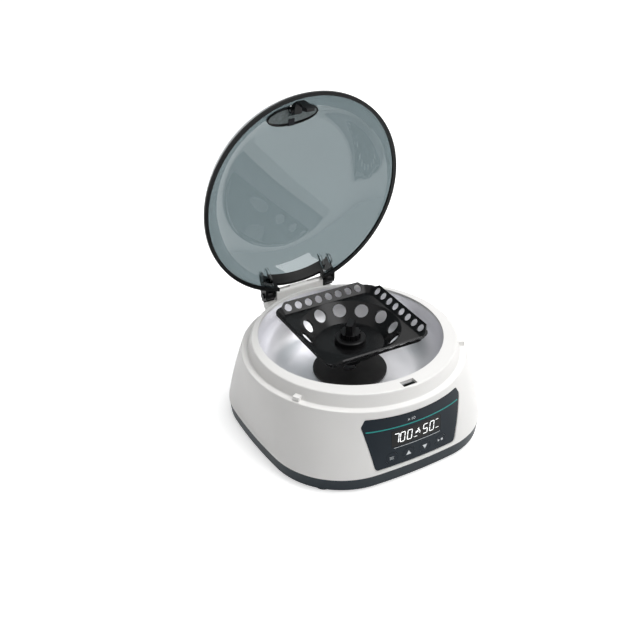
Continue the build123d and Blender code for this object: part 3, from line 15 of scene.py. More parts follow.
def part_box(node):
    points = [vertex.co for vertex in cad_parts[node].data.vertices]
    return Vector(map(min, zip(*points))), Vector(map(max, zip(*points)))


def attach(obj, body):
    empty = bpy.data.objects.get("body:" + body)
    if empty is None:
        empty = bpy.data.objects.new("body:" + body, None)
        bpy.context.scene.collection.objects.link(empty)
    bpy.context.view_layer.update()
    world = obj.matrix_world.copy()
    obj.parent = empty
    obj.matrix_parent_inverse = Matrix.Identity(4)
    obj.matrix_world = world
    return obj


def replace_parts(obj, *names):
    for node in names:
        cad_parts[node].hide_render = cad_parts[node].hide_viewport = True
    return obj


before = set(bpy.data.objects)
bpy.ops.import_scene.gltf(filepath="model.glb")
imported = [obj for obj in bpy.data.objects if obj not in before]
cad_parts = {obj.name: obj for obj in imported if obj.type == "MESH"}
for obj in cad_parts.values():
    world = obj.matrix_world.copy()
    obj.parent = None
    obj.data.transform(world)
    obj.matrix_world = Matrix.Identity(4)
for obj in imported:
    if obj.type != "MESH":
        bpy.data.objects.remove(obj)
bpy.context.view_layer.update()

bl_info = {
    "name": "Bench Centrifuge",
    "version": (1, 0, 0),
    "blender": (4, 5, 0),
    "location": "View3D > Sidebar > Centrifuge",
    "description": "Finishes, panel print, fittings and stage for a bench centrifuge",
    "category": "Object",
}

MM = 0.001
WAVE_PERIOD = 0.314    # of the wave pattern at a scale of 1, in metres
BRICK = 0.5            # one brick of the brick pattern at a scale of 1, in metres
# the finger pad's outer face while the lid stands open: its middle, the way out of it and the way down it
PAD_CENTRE = Vector((0.0, 87.196, 220.814)) * MM
PAD_OUT = Vector((0.0, 0.92225, 0.38659))
PAD_DOWN = Vector((0.0, 0.38659, -0.92225))
# the lit figures with their left edges in the lens, and small bars beside them: left, rise and width, in mm
LIT_DIGITS = (("7", 1.3), ("0", 6.3), ("0", 12.2), ("5", 25.9), ("0", 31.8))
LIT_BARS = ((18.3, 0.3, 3.0), (38.0, 0.6, 2.6), (38.0, 7.6, 2.4))
# what is lit of a figure: a to f run round it clockwise from the top, and g is the bar in the middle
SEGMENTS = {"0": "abcdef", "5": "acdfg", "7": "abc"}
FILM_SLOPE = 9.2 / 41.6    # how far the film's slanting edges run in for each unit of height
CAMERA_PLACE = (-0.3544, -0.5645, 0.4942)
CAMERA_TURN = (radians(58.22), 0.0, radians(-30.29))
LAMP_AIM = Vector((0.0, 0.0, 0.06))
FLOOR_HALF = 6.0


def from_hex(code):
    """An sRGB hex colour as linear RGBA."""
    channels = [int(code[i:i + 2], 16) / 255 for i in (1, 3, 5)]
    return tuple(c / 12.92 if c <= 0.04045 else ((c + 0.055) / 1.055) ** 2.4 for c in channels) + (1.0,)


def colour(name, code, text):
    """A colour that can be set, given as sRGB hex."""
    return FloatVectorProperty(name=name, description=text, subtype="COLOR", size=4, min=0.0, max=1.0,
                               default=from_hex(code))


def length(name, size, text):
    """A length that can be set, in metres."""
    return FloatProperty(name=name, description=text, subtype="DISTANCE", unit="LENGTH", min=0.0,
                         default=size)


class CaseSettings(bpy.types.PropertyGroup):
    white: colour("Case white", "#f3f2f0", "Moulded ABS of the upper case")
    slate: colour("Base slate", "#1d282f", "Moulded ABS of the base")
    black: colour("Trim black", "#101112", "Moulded ABS of the rim, knob and lever")
    grain: length("Mould grain", 0.6 * MM, "Size of the spark eroded grain, coarse enough to show")
    recess_width: length("Screw recess", 2.6 * MM, "Across the cross recess of the base screws")


class LidSettings(bpy.types.PropertyGroup):
    tint: colour("Smoke tint", "#697578", "What one face of the smoked wall lets through")
    # the finger pad's pale grey is painted backlight: the real pad is smoked plastic that the white behind it
    # shines through
    pad: colour("Finger pad", "#7c8687", "Textured face of the finger pad")
    ridge_pitch: length("Ridge pitch", 1.6 * MM, "Between the grip ridges on the finger pad")
    ridge_width: length("Ridge width", 0.6 * MM, "Width of one grip ridge")
    ridge_count: IntProperty(name="Ridges", description="Grip ridges on the finger pad", min=1, max=40,
                             default=17)


class RotorSettings(bpy.types.PropertyGroup):
    black: colour("Rotor black", "#0d0d0e", "Moulded rotor tray")
    metal: colour("Bowl metal", "#efeff2", "Spun aluminium bowl")
    lines: length("Spinning lines", 0.9 * MM, "Between the spinning lines, coarse enough to show")


class PanelSettings(bpy.types.PropertyGroup):
    film: colour("Film", "#17222b", "Printed control panel film")
    stripe: colour("Stripe", "#2f9c97", "Stripe across the film")
    ink: colour("Ink", "#e3e7ea", "Symbols and thin lines")
    lit: colour("Digits", "#f4f6f6", "Lit figures in the display")
    stripe_height: length("Stripe height", 0.95 * MM, "Height of the stripe")
    digit_height: length("Digit height", 8.4 * MM, "Height of a lit figure")
    digit_width: length("Digit width", 4.3 * MM, "Width of a lit figure")
    stroke: length("Digit stroke", 0.68 * MM, "Width of a figure's strokes")


class StageSettings(bpy.types.PropertyGroup):
    floor: colour("Floor", "#f4f4f4", "Pale floor")
    floor_lift: FloatProperty(name="Floor lift", description="Glow that lifts the floor to white for the eye",
                              min=0.0, default=0.6)
    lens: FloatProperty(name="Lens", description="Focal length on a 36 mm sensor", min=10.0, default=57.4)
    key_power: FloatProperty(name="Key light", description="Power of the light at the front", unit="POWER",
                             min=0.0, default=9.5)
    top_power: FloatProperty(name="Top light", description="Power of the light overhead", unit="POWER",
                             min=0.0, default=16.5)
    sky: FloatProperty(name="Sky", description="Strength of the even light all round", min=0.0, default=0.2)


def put(tree, kind, inputs=None, **settings):
    """Add a node, set its properties, and give its inputs values or links."""
    item = tree.nodes.new(kind)
    for key, value in settings.items():
        setattr(item, key, value)
    for key, value in (inputs or {}).items():
        if isinstance(value, bpy.types.NodeSocket):
            tree.links.new(value, item.inputs[key])
        else:
            item.inputs[key].default_value = value
    return item


def finish(name, **shader):
    """A new material: its tree, its shader and the object's own coordinates."""
    material = bpy.data.materials.new(name)
    material.use_nodes = True
    tree = material.node_tree
    surface = tree.nodes["Principled BSDF"]
    for key, value in shader.items():
        surface.inputs[key.replace("_", " ")].default_value = value
    place = put(tree, "ShaderNodeTexCoord").outputs["Object"]
    return material, tree, surface, place


def darker(shade, share):
    """A linear colour with a share of its light."""
    return tuple(c * share for c in shade[:3]) + (1.0,)


def tone(tree, surface, place, base, other, size, socket="Base Color"):
    """Let a colour drift between two close tones over the surface, in clouds of this size."""
    cloud = put(tree, "ShaderNodeTexNoise", {"Vector": place, "Scale": 1 / size, "Detail": 2.0})
    ramp = put(tree, "ShaderNodeValToRGB", {"Fac": cloud.outputs["Fac"]})
    for stop, position, shade in zip(ramp.color_ramp.elements, (0.35, 0.65), (other, base)):
        stop.position = position
        stop.color = shade
    tree.links.new(ramp.outputs["Color"], surface.inputs[socket])


def relief(tree, surface, height, depth, strength=1.0):
    """Raise the surface by a height pattern."""
    bump = put(tree, "ShaderNodeBump", {"Height": height, "Distance": depth, "Strength": strength})
    tree.links.new(bump.outputs["Normal"], surface.inputs["Normal"])


def sheen_of(tree, surface, place, size, low, high):
    """Let the roughness vary a little, as handling and moulding leave it, in clouds of this size."""
    cloud = put(tree, "ShaderNodeTexNoise", {"Vector": place, "Scale": 1 / size, "Detail": 3.0})
    spread = put(tree, "ShaderNodeMapRange", {"Value": cloud.outputs["Fac"], "To Min": low, "To Max": high})
    tree.links.new(spread.outputs["Result"], surface.inputs["Roughness"])


def moulded_abs(name, shade, low, high, grain, depth, shine=0.5):
    """ABS from a spark eroded mould: an even colour with a very fine satin grain."""
    material, tree, surface, place = finish(name, IOR=1.54, Specular_IOR_Level=shine)
    tone(tree, surface, place, shade, darker(shade, 0.965), 71.4 * MM)
    sheen_of(tree, surface, place, 25 * MM, low, high)
    speck = put(tree, "ShaderNodeTexNoise", {"Vector": place, "Scale": 1 / grain, "Detail": 2.0})
    relief(tree, surface, speck.outputs["Fac"], depth, 0.5)
    return material


def textured_pad(dark, pale, start):
    """Black ABS lever whose finger pad is painted pale grey, a painted backlight for the light that shines
    through the real pad's smoked plastic: the pad lies behind a plane, and the hook before it.
    """
    material, tree, surface, place = finish("textured_abs_pad_painted_backlight", IOR=1.54, Roughness=0.5,
                                            Specular_IOR_Level=0.25)
    along = put(tree, "ShaderNodeSeparateXYZ", {"Vector": place})
    share = put(tree, "ShaderNodeMapRange", {"Value": along.outputs["Y"], "From Min": start,
                                             "From Max": start + 1.0 * MM})
    cloud = put(tree, "ShaderNodeTexNoise", {"Vector": place, "Scale": 1 / (2.38 * MM),
                                             "Detail": 3.0})
    ramp = put(tree, "ShaderNodeValToRGB", {"Fac": cloud.outputs["Fac"]})
    # the pale tone is painted backlight, for light shining through the real pad; the noise only varies it a
    # little
    for stop, position, shade in zip(ramp.color_ramp.elements, (0.35, 0.65), (darker(pale, 0.7), pale)):
        stop.position = position
        stop.color = shade
    both = put(tree, "ShaderNodeMixRGB", {"Fac": share.outputs["Result"], "Color1": dark,
                                          "Color2": ramp.outputs["Color"]})
    tree.links.new(both.outputs["Color"], surface.inputs["Base Color"])
    relief(tree, surface, cloud.outputs["Fac"], 0.12 * MM, 0.6)
    return material


def smoked_polycarbonate(tint):
    """Clear polycarbonate with a grey dye: polished both sides, with the slow ripple of a moulding."""
    material, tree, surface, place = finish("smoked_polycarbonate", IOR=1.585, Roughness=0.02,
                                            Transmission_Weight=1.0)
    tone(tree, surface, place, tint, darker(tint, 0.985), 111 * MM)
    ripple = put(tree, "ShaderNodeTexNoise", {"Vector": place, "Scale": 1 / (45.5 * MM), "Detail": 1.0})
    relief(tree, surface, ripple.outputs["Fac"], 0.4 * MM, 0.15)
    return material


def polished_polymer(name, shade, low, high, shine=0.5):
    """Glass filled polymer from a polished mould: glossy, with faint flow marks."""
    material, tree, surface, place = finish(name, IOR=1.52, Specular_IOR_Level=shine)
    tone(tree, surface, place, shade, darker(shade, 0.8), 33.3 * MM)
    sheen_of(tree, surface, place, 16.7 * MM, low, high)
    flow = put(tree, "ShaderNodeTexNoise", {"Vector": place, "Scale": 1 / (11.1 * MM), "Detail": 3.0})
    relief(tree, surface, flow.outputs["Fac"], 0.06 * MM, 0.35)
    return material


def spun_aluminium(name, shade, centre, pitch):
    """Aluminium spun over a former: fine rings round its axis that stretch each highlight."""
    material, tree, surface, place = finish(name, Metallic=0.8, Roughness=0.32)
    tone(tree, surface, place, shade, darker(shade, 0.9), 40 * MM)
    centred = put(tree, "ShaderNodeMapping", {"Vector": place, "Location": (-centre[0], -centre[1], 0.0)})
    rings = put(tree, "ShaderNodeTexWave", {"Vector": centred.outputs["Vector"], "Scale": WAVE_PERIOD / pitch,
                                            "Distortion": 1.2, "Detail": 2.0},
                wave_type="RINGS", rings_direction="SPHERICAL")
    relief(tree, surface, rings.outputs["Fac"], 0.03 * MM, 0.5)
    return material


def plated_steel(name, shade, roughness):
    """Rolled steel with a thin bright plating: metal with faint long scratches."""
    material, tree, surface, place = finish(name, Metallic=1.0, Roughness=roughness)
    tone(tree, surface, place, shade, darker(shade, 0.8), 16.7 * MM)
    drawn = put(tree, "ShaderNodeMapping", {"Vector": place, "Scale": (1.0, 14.0, 14.0)})
    scratch = put(tree, "ShaderNodeTexNoise", {"Vector": drawn.outputs["Vector"], "Scale": 1 / (3.85 * MM),
                                               "Detail": 4.0})
    relief(tree, surface, scratch.outputs["Fac"], 0.02 * MM, 0.4)
    return material


def cast_metal(name, shade, roughness, grain):
    """Die cast and blasted metal: matt, with a sandy grain."""
    material, tree, surface, place = finish(name, Metallic=0.9, Roughness=roughness)
    tone(tree, surface, place, shade, darker(shade, 0.85), 22.2 * MM)
    sand = put(tree, "ShaderNodeTexNoise", {"Vector": place, "Scale": 1 / grain, "Detail": 3.0})
    relief(tree, surface, sand.outputs["Fac"], 0.06 * MM, 0.6)
    return material


def nitrile_rubber(shade):
    """Pressed nitrile rubber: nearly black and matt, with a fine dusty grain."""
    material, tree, surface, place = finish("nitrile_rubber", IOR=1.52)
    tone(tree, surface, place, shade, darker(shade, 0.6), 18.2 * MM)
    sheen_of(tree, surface, place, 8.33 * MM, 0.55, 0.75)
    grain = put(tree, "ShaderNodeTexNoise", {"Vector": place, "Scale": 1 / (0.625 * MM), "Detail": 2.0})
    relief(tree, surface, grain.outputs["Fac"], 0.08 * MM, 0.5)
    return material


def printed_film(name, shade, low, high):
    """Polyester film printed on its back: a deep even colour under a velvet front that mutes its shine."""
    material, tree, surface, place = finish(name, IOR=1.57, Specular_IOR_Level=0.12)
    tone(tree, surface, place, shade, darker(shade, 0.92), 28.6 * MM)
    sheen_of(tree, surface, place, 6.67 * MM, low, high)
    velvet = put(tree, "ShaderNodeTexNoise", {"Vector": place, "Scale": 1 / (0.4545 * MM), "Detail": 1.0})
    relief(tree, surface, velvet.outputs["Fac"], 0.02 * MM, 0.4)
    return material


def laminated_iron():
    """Stacked silicon steel sheets, each half a millimetre thick, with dark joints between them."""
    material, tree, surface, place = finish("laminated_silicon_steel", Metallic=0.9, Roughness=0.45)
    bands = put(tree, "ShaderNodeTexWave", {"Vector": place, "Scale": WAVE_PERIOD / (0.5 * MM)},
                bands_direction="Z")
    ramp = put(tree, "ShaderNodeValToRGB", {"Fac": bands.outputs["Fac"]})
    ramp.color_ramp.elements[0].color = from_hex("#3c3c3e")
    ramp.color_ramp.elements[1].color = from_hex("#77787b")
    ramp.color_ramp.elements[1].position = 0.4
    tree.links.new(ramp.outputs["Color"], surface.inputs["Base Color"])
    return material


def enamelled_wire():
    """Enamelled copper wire wound side by side: amber and glossy, in turns of 0.4 mm."""
    material, tree, surface, place = finish("enamelled_copper_wire", Metallic=0.8, Roughness=0.25)
    tone(tree, surface, place, from_hex("#b4632a"), from_hex("#8f4a1e"), 8.33 * MM)
    turns = put(tree, "ShaderNodeTexWave", {"Vector": place, "Scale": WAVE_PERIOD / (0.4 * MM)},
                bands_direction="Z")
    relief(tree, surface, turns.outputs["Fac"], 0.15 * MM, 0.8)
    return material


def solder_mask():
    """Glass epoxy board under green solder mask, with faint copper tracks round fields 4.17 mm long."""
    material, tree, surface, place = finish("solder_mask_green", Roughness=0.3, IOR=1.5)
    tracks = put(tree, "ShaderNodeTexBrick", {"Vector": place, "Scale": BRICK / (4.17 * MM),
                                              "Mortar Size": 0.06,
                                              "Color1": from_hex("#0f4a2c"), "Color2": from_hex("#12532f"),
                                              "Mortar": from_hex("#1d6b3e")})
    tree.links.new(tracks.outputs["Color"], surface.inputs["Base Color"])
    return material


def lit_figures(shade):
    """Lit liquid crystal figures: an even white that needs no lamp."""
    material, tree, surface, place = finish("lit_display_figures", Roughness=0.5, Emission_Strength=0.9)
    tone(tree, surface, place, shade, darker(shade, 0.93), 2.5 * MM)
    tone(tree, surface, place, shade, darker(shade, 0.93), 2.5 * MM, "Emission Color")
    return material


def dress(material, *nodes):
    """Give CAD nodes their finish."""
    for name in nodes:
        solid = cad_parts[name]
        solid.data.materials.clear()
        solid.data.materials.append(material)


def piece(name, mesh, material, body):
    """A finished piece in the scene, in place in its mesh and riding on its body."""
    mesh.name = name
    mesh.materials.clear()
    mesh.materials.append(material)
    made = bpy.data.objects.new(name, mesh)
    bpy.context.scene.collection.objects.link(made)
    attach(made, body)
    return made


def welded(name, node, angle):
    """A node's mesh with its loose triangles merged into one skin, smooth across edges under an angle."""
    shape = bmesh.new()
    shape.from_mesh(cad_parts[node].data)
    bmesh.ops.remove_doubles(shape, verts=shape.verts[:], dist=0.001 * MM)
    bmesh.ops.dissolve_degenerate(shape, edges=shape.edges[:], dist=0.001 * MM)
    shape.verts.index_update()
    mesh = bpy.data.meshes.new(name)
    mesh.from_pydata([v.co for v in shape.verts], [],
                     [[v.index for v in face.verts] for face in shape.faces])
    shape.free()
    mesh.shade_smooth()
    mesh.set_sharp_from_angle(angle=angle)
    return mesh


def solid_tree(*nodes):
    """The surfaces of some CAD nodes, for laying things on them."""
    joined = bmesh.new()
    for name in nodes:
        joined.from_mesh(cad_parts[name].data)
    found = BVHTree.FromBMesh(joined)
    joined.free()
    return found


def lay_upright(shape, target, lift, side, step=2.5 * MM):
    """Cut faces that lie in x and z into short pieces, and lay them on the front, -1, or the back, 1."""
    for axis in (0, 2):
        values = [v.co[axis] for v in shape.verts]
        low, high = min(values), max(values)
        count = int((high - low) / step)
        for i in range(1, count + 1):
            at = low + (high - low) * i / (count + 1)
            point, normal = [0.0] * 3, [0.0] * 3
            point[axis], normal[axis] = at, 1.0
            bmesh.ops.bisect_plane(shape, geom=shape.verts[:] + shape.edges[:] + shape.faces[:],
                                   plane_co=point, plane_no=normal)
    for v in shape.verts:
        hit = target.ray_cast(Vector((v.co.x, side, v.co.z)), Vector((0.0, -side, 0.0)))[0]
        if hit is None:
            raise RuntimeError(f"nothing to print on at {v.co.x:.4f}, {v.co.z:.4f}")
        v.co.y = hit.y + side * lift


def upright_print(name, outlines, target, material, body, side=-1.0, lift=0.04 * MM):
    """A thin print of outlines in x and z, a little off the front, side -1, or the back, side 1."""
    shape = bmesh.new()
    for outline in outlines:
        shape.faces.new([shape.verts.new((x, 0.0, z)) for x, z in outline])
    lay_upright(shape, target, lift, side)
    bmesh.ops.recalc_face_normals(shape, faces=shape.faces[:])
    for face in shape.faces:
        if face.normal.y * side < 0:
            face.normal_flip()
    mesh = bpy.data.meshes.new(name)
    shape.to_mesh(mesh)
    shape.free()
    return piece(name, mesh, material, body)


def bar(x0, z0, x1, z1):
    """The outline of an upright rectangle between two corners."""
    return [(x0, z0), (x1, z0), (x1, z1), (x0, z1)]


def ring_quads(x, z, inner, outer, start=0.0, end=2 * pi, count=24):
    """A ring, or part of one, as short quads."""
    quads = []
    for i in range(count):
        a, b = (start + (end - start) * j / count for j in (i, i + 1))
        quads.append([(x + r * cos(t), z + r * sin(t))
                      for r, t in ((inner, a), (outer, a), (outer, b), (inner, b))])
    return quads


def figure(digit, left, bottom, width, height, stroke, slant=0.1):
    """The lit segments of one figure, leaning a little to the right."""
    half, gap = stroke / 2, stroke * 0.12
    middle = height / 2
    across = {"a": height - half, "g": middle, "d": half}
    upright = {"f": (0, middle, height), "b": (1, middle, height), "e": (0, 0, middle), "c": (1, 0, middle)}
    shapes = []
    for name in SEGMENTS[digit]:
        if name in across:
            z = across[name]
            outline = [(half + gap, z), (stroke + gap, z - half), (width - stroke - gap, z - half),
                       (width - half - gap, z), (width - stroke - gap, z + half), (stroke + gap, z + half)]
        else:
            side, low, high = upright[name]
            x = half if side == 0 else width - half
            low, high = max(low, half) + gap, min(high, height - half) - gap
            outline = [(x, low), (x + half, low + half), (x + half, high - half), (x, high),
                       (x - half, high - half), (x - half, low + half)]
        shapes.append([(left + x + z * slant, bottom + z) for x, z in outline])
    return shapes


def grown(name, settings, build):
    """Run a Geometry Nodes tree on an empty mesh and return what it makes as a plain mesh.

    settings are named inputs: name, socket kind and value. build links them up and returns the last socket.
    """
    tree = bpy.data.node_groups.new(name, "GeometryNodeTree")
    tree.interface.new_socket("Geometry", in_out="INPUT", socket_type="NodeSocketGeometry")
    tree.interface.new_socket("Geometry", in_out="OUTPUT", socket_type="NodeSocketGeometry")
    values = {}
    for label, kind, value in settings:
        socket = tree.interface.new_socket(label, in_out="INPUT", socket_type=kind)
        values[socket.identifier] = value
    start = put(tree, "NodeGroupInput")
    made = build(tree, start)
    real = put(tree, "GeometryNodeRealizeInstances", {"Geometry": made})
    painted = put(tree, "GeometryNodeSetMaterial", {"Geometry": real.outputs["Geometry"],
                                                    "Material": start.outputs["Finish"]})
    put(tree, "NodeGroupOutput", {"Geometry": painted.outputs["Geometry"]})
    seed = bpy.data.objects.new(name, bpy.data.meshes.new(name))
    bpy.context.scene.collection.objects.link(seed)
    grow = seed.modifiers.new("grow", "NODES")
    grow.node_group = tree
    for identifier, value in values.items():
        grow[identifier] = value
    depsgraph = bpy.context.evaluated_depsgraph_get()
    mesh = bpy.data.meshes.new_from_object(seed.evaluated_get(depsgraph))
    seed.modifiers.remove(grow)
    bpy.data.objects.remove(seed)
    bpy.data.node_groups.remove(tree)
    return mesh


def cross_screws(tree, start):
    """Pan head screws on the corners of a rectangle: each head has a driver's cross cut into its low face."""
    given = start.outputs
    head = put(tree, "GeometryNodeMeshCone", {"Vertices": 40, "Radius Top": given["Head radius"],
                                              "Radius Bottom": given["Face radius"], "Depth": given["Head"]})
    cut = put(tree, "GeometryNodeMeshBoolean", {"Mesh 1": head.outputs["Mesh"]}, operation="DIFFERENCE")
    for long, short in (("X", "Y"), ("Y", "X")):
        size = put(tree, "ShaderNodeCombineXYZ", {long: given["Cross"], short: given["Cross width"],
                                                  "Z": given["Head"]})
        blade = put(tree, "GeometryNodeMeshCube", {"Size": size.outputs["Vector"]})
        tree.links.new(blade.outputs["Mesh"], cut.inputs["Mesh 2"])
    half = put(tree, "ShaderNodeMath", {0: given["Length"], 1: 0.5}, operation="MULTIPLY")
    middle = put(tree, "ShaderNodeMath", {0: half.outputs["Value"], 1: given["Head"]}, operation="ADD")
    lift = put(tree, "ShaderNodeCombineXYZ", {"Z": middle.outputs["Value"]})
    shank = put(tree, "GeometryNodeMeshCylinder", {"Vertices": 24, "Radius": given["Radius"],
                                                   "Depth": given["Length"]})
    raised = put(tree, "GeometryNodeTransform", {"Geometry": shank.outputs["Mesh"],
                                                 "Translation": lift.outputs["Vector"]})
    whole = put(tree, "GeometryNodeJoinGeometry", {"Geometry": cut.outputs["Mesh"]})
    tree.links.new(raised.outputs["Geometry"], whole.inputs["Geometry"])
    corners = put(tree, "GeometryNodeMeshGrid", {"Size X": given["Across"], "Size Y": given["Along"],
                                                 "Vertices X": 2, "Vertices Y": 2})
    placed = put(tree, "GeometryNodeInstanceOnPoints", {"Points": corners.outputs["Mesh"],
                                                        "Instance": whole.outputs["Geometry"]})
    return placed.outputs["Instances"]


def grip_ridges(tree, start):
    """A row of ridges across an oval, each as long as the oval is there."""
    given = start.outputs
    size = put(tree, "ShaderNodeCombineXYZ", {"X": given["Ridge width"], "Y": given["Oval length"],
                                              "Z": given["Height"]})
    ridge = put(tree, "GeometryNodeMeshCube", {"Size": size.outputs["Vector"], "Vertices Y": 12})
    step = put(tree, "ShaderNodeCombineXYZ", {"X": given["Pitch"]})
    steps = put(tree, "ShaderNodeMath", {0: given["Count"], 1: 1.0}, operation="SUBTRACT")
    run = put(tree, "ShaderNodeMath", {0: steps.outputs["Value"], 1: given["Pitch"]}, operation="MULTIPLY")
    first = put(tree, "ShaderNodeMath", {0: run.outputs["Value"], 1: -0.5}, operation="MULTIPLY")
    begin = put(tree, "ShaderNodeCombineXYZ", {"X": first.outputs["Value"]})
    row = put(tree, "GeometryNodeMeshLine", {"Count": given["Count"],
                                             "Start Location": begin.outputs["Vector"],
                                             "Offset": step.outputs["Vector"]}, mode="OFFSET")
    spot = put(tree, "GeometryNodeInputPosition")
    along = put(tree, "ShaderNodeSeparateXYZ", {"Vector": spot.outputs["Position"]})
    share = put(tree, "ShaderNodeMath", {0: along.outputs["X"], 1: given["Oval half width"]},
                operation="DIVIDE")
    squared = put(tree, "ShaderNodeMath", {0: share.outputs["Value"], 1: 2.0}, operation="POWER")
    rest = put(tree, "ShaderNodeMath", {0: 1.0, 1: squared.outputs["Value"]}, operation="SUBTRACT")
    chord = put(tree, "ShaderNodeMath", {0: rest.outputs["Value"]}, operation="SQRT")
    scale = put(tree, "ShaderNodeCombineXYZ", {"X": 1.0, "Y": chord.outputs["Value"], "Z": 1.0})
    placed = put(tree, "GeometryNodeInstanceOnPoints", {"Points": row.outputs["Mesh"],
                                                        "Instance": ridge.outputs["Mesh"],
                                                        "Scale": scale.outputs["Vector"]})
    return placed.outputs["Instances"]


class CaseFinish(bpy.types.Operator):
    """Give the moulded case, the base, its feet and every hidden part of the drive their finish"""

    bl_idname = "centrifuge.case_finish"
    bl_label = "Case and drive finish"

    def execute(self, context):
        look = context.scene.centrifuge_case
        dress(moulded_abs("moulded_abs_white", look.white, 0.34, 0.44, look.grain, 0.03 * MM),
              "upper_housing")
        dress(moulded_abs("moulded_abs_slate", look.slate, 0.42, 0.52, look.grain, 0.04 * MM, 0.2),
              "base_pan")
        dress(nitrile_rubber(from_hex("#141414")), "rubber_feet", "rubber_mounts", "chamber_pad")
        dress(plated_steel("zinc_plated_steel", from_hex("#b9bbbe"), 0.3), "base_screws", "bowl_screws",
              "strike_screws", "motor_screws", "board_screws", "drive_screws", "mount_nuts", "strike_plate",
              "motor_plate", "lever_pin", "drive_shaft")
        dress(plated_steel("black_oxide_steel", from_hex("#26272a"), 0.35), "hinge_pins", "lever_spring")
        dress(plated_steel("ground_bearing_steel", from_hex("#cfd1d3"), 0.18), "lower_bearing",
              "upper_bearing")
        dress(cast_metal("die_cast_aluminium", from_hex("#9fa2a5"), 0.5, 0.5 * MM), "motor_can")
        dress(cast_metal("coated_ferrite", from_hex("#3a3b3d"), 0.6, 0.4 * MM), "magnet_rotor")
        dress(laminated_iron(), "stator_core")
        dress(enamelled_wire(), "stator_coils")
        dress(solder_mask(), "control_board", "drive_board")
        dress(moulded_abs("moulded_epoxy_black", from_hex("#17181a"), 0.4, 0.5, look.grain, 0.02 * MM),
              "drive_parts", "key_switches", "display_module")
        # the base's screws, seen from below, with the cross for a driver
        low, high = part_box("base_screws")
        radius, head, shank, bevel = 2.8 * MM, 1.8 * MM, 1.5 * MM, 0.35 * MM
        screws = grown("base_screws_crossed", (
            ("Finish", "NodeSocketMaterial", plated_steel("zinc_plated_steel_head", from_hex("#a9abae"),
                                                          0.34)),
            ("Head radius", "NodeSocketFloat", radius),
            ("Face radius", "NodeSocketFloat", radius - bevel),
            ("Head", "NodeSocketFloat", head),
            ("Radius", "NodeSocketFloat", shank),
            ("Length", "NodeSocketFloat", high[2] - low[2] - head),
            ("Cross", "NodeSocketFloat", look.recess_width),
            ("Cross width", "NodeSocketFloat", look.recess_width / 4),
            ("Across", "NodeSocketFloat", high[0] - low[0] - 2 * radius),
            ("Along", "NodeSocketFloat", high[1] - low[1] - 2 * radius)), cross_screws)
        middle = Vector(((low[0] + high[0]) / 2, (low[1] + high[1]) / 2, low[2]))
        for v in screws.vertices:
            v.co += middle
        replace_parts(piece("base_screws_crossed", screws, screws.materials[0], "case"), "base_screws")
        return {"FINISHED"}


class PowerFinish(bpy.types.Operator):
    """Give the power switch and the low voltage inlet their finish, with the signs on the rocker"""

    bl_idname = "centrifuge.power_finish"
    bl_label = "Power switch and inlet"

    def execute(self, context):
        look = context.scene.centrifuge_case
        trim = moulded_abs("moulded_abs_switch_black", look.black, 0.3, 0.4, look.grain, 0.02 * MM)
        dress(trim, "switch_bezel", "power_jack")
        dress(polished_polymer("polished_nylon_rocker", from_hex("#161719"), 0.2, 0.3), "power_rocker")
        dress(plated_steel("nickel_plated_brass", from_hex("#d9cdb0"), 0.2), "jack_pin")
        # the line and circle of a power switch, printed on the rocker's two halves
        low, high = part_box("power_rocker")
        x, z = (low[0] + high[0]) / 2, (low[2] + high[2]) / 2
        half_line, rise, middle = 0.2 * MM, 1.0 * MM, 2.3 * MM
        signs = [bar(x - half_line, z + middle - rise, x + half_line, z + middle + rise)]
        signs += ring_quads(x, z - middle, 0.75 * MM, 1.1 * MM)
        ink = printed_film("pad_printed_ink_white", from_hex("#dfe2e4"), 0.4, 0.5)
        upright_print("rocker_signs", signs, solid_tree("power_rocker"), ink, "rocker", 1.0)
        return {"FINISHED"}


class LidFinish(bpy.types.Operator):
    """Give the smoked dome, its black rim and its latch lever their finish, with the pad's grip ridges"""

    bl_idname = "centrifuge.lid_finish"
    bl_label = "Lid and latch"

    def execute(self, context):
        case, look = context.scene.centrifuge_case, context.scene.centrifuge_lid
        # the dome's skin is merged, so that its crown bends light as evenly as the rest
        skin = welded("smoked_dome", "lid_dome", radians(35))
        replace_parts(piece("smoked_dome", skin, smoked_polycarbonate(look.tint), "lid"),
                    "lid_dome")
        # the black of lid_frame is partly the rim's own colour and partly painted shade: its band between the
        # hinge arms stands where shade is seen through the smoked skirt
        trim = moulded_abs("moulded_abs_black_and_painted_shade", case.black, 0.28, 0.38, case.grain, 0.02 * MM, 0.15)
        dress(trim, "lid_frame", "lever_collar")
        pad_reach = 9.5 * MM
        # the pad's pale grey is painted backlight, and the black hook is the lever's own colour
        pad_painted_backlight = textured_pad(case.black, look.pad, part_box("release_lever")[1][1] - pad_reach)
        dress(pad_painted_backlight, "release_lever")
        # grip ridges laid on the pad's outer face
        ridges = grown("pad_grip_ridges", (
            ("Finish", "NodeSocketMaterial", pad_painted_backlight),
            ("Count", "NodeSocketInt", look.ridge_count),
            ("Pitch", "NodeSocketFloat", look.ridge_pitch),
            ("Ridge width", "NodeSocketFloat", look.ridge_width),
            ("Height", "NodeSocketFloat", 0.6 * MM),
            ("Oval length", "NodeSocketFloat", 12.0 * MM),
            ("Oval half width", "NodeSocketFloat", 19.0 * MM)), grip_ridges)
        pad = solid_tree("release_lever")
        for v in ridges.vertices:
            over = PAD_CENTRE + Vector((v.co.x, 0.0, 0.0)) + PAD_DOWN * v.co.y + PAD_OUT * 10.0 * MM
            hit = pad.ray_cast(over, -PAD_OUT)[0]
            if hit is None:
                raise RuntimeError("the finger pad isn't under its ridges")
            v.co = hit + PAD_OUT * v.co.z
        piece("pad_grip_ridges", ridges, pad_painted_backlight, "lever")
        return {"FINISHED"}


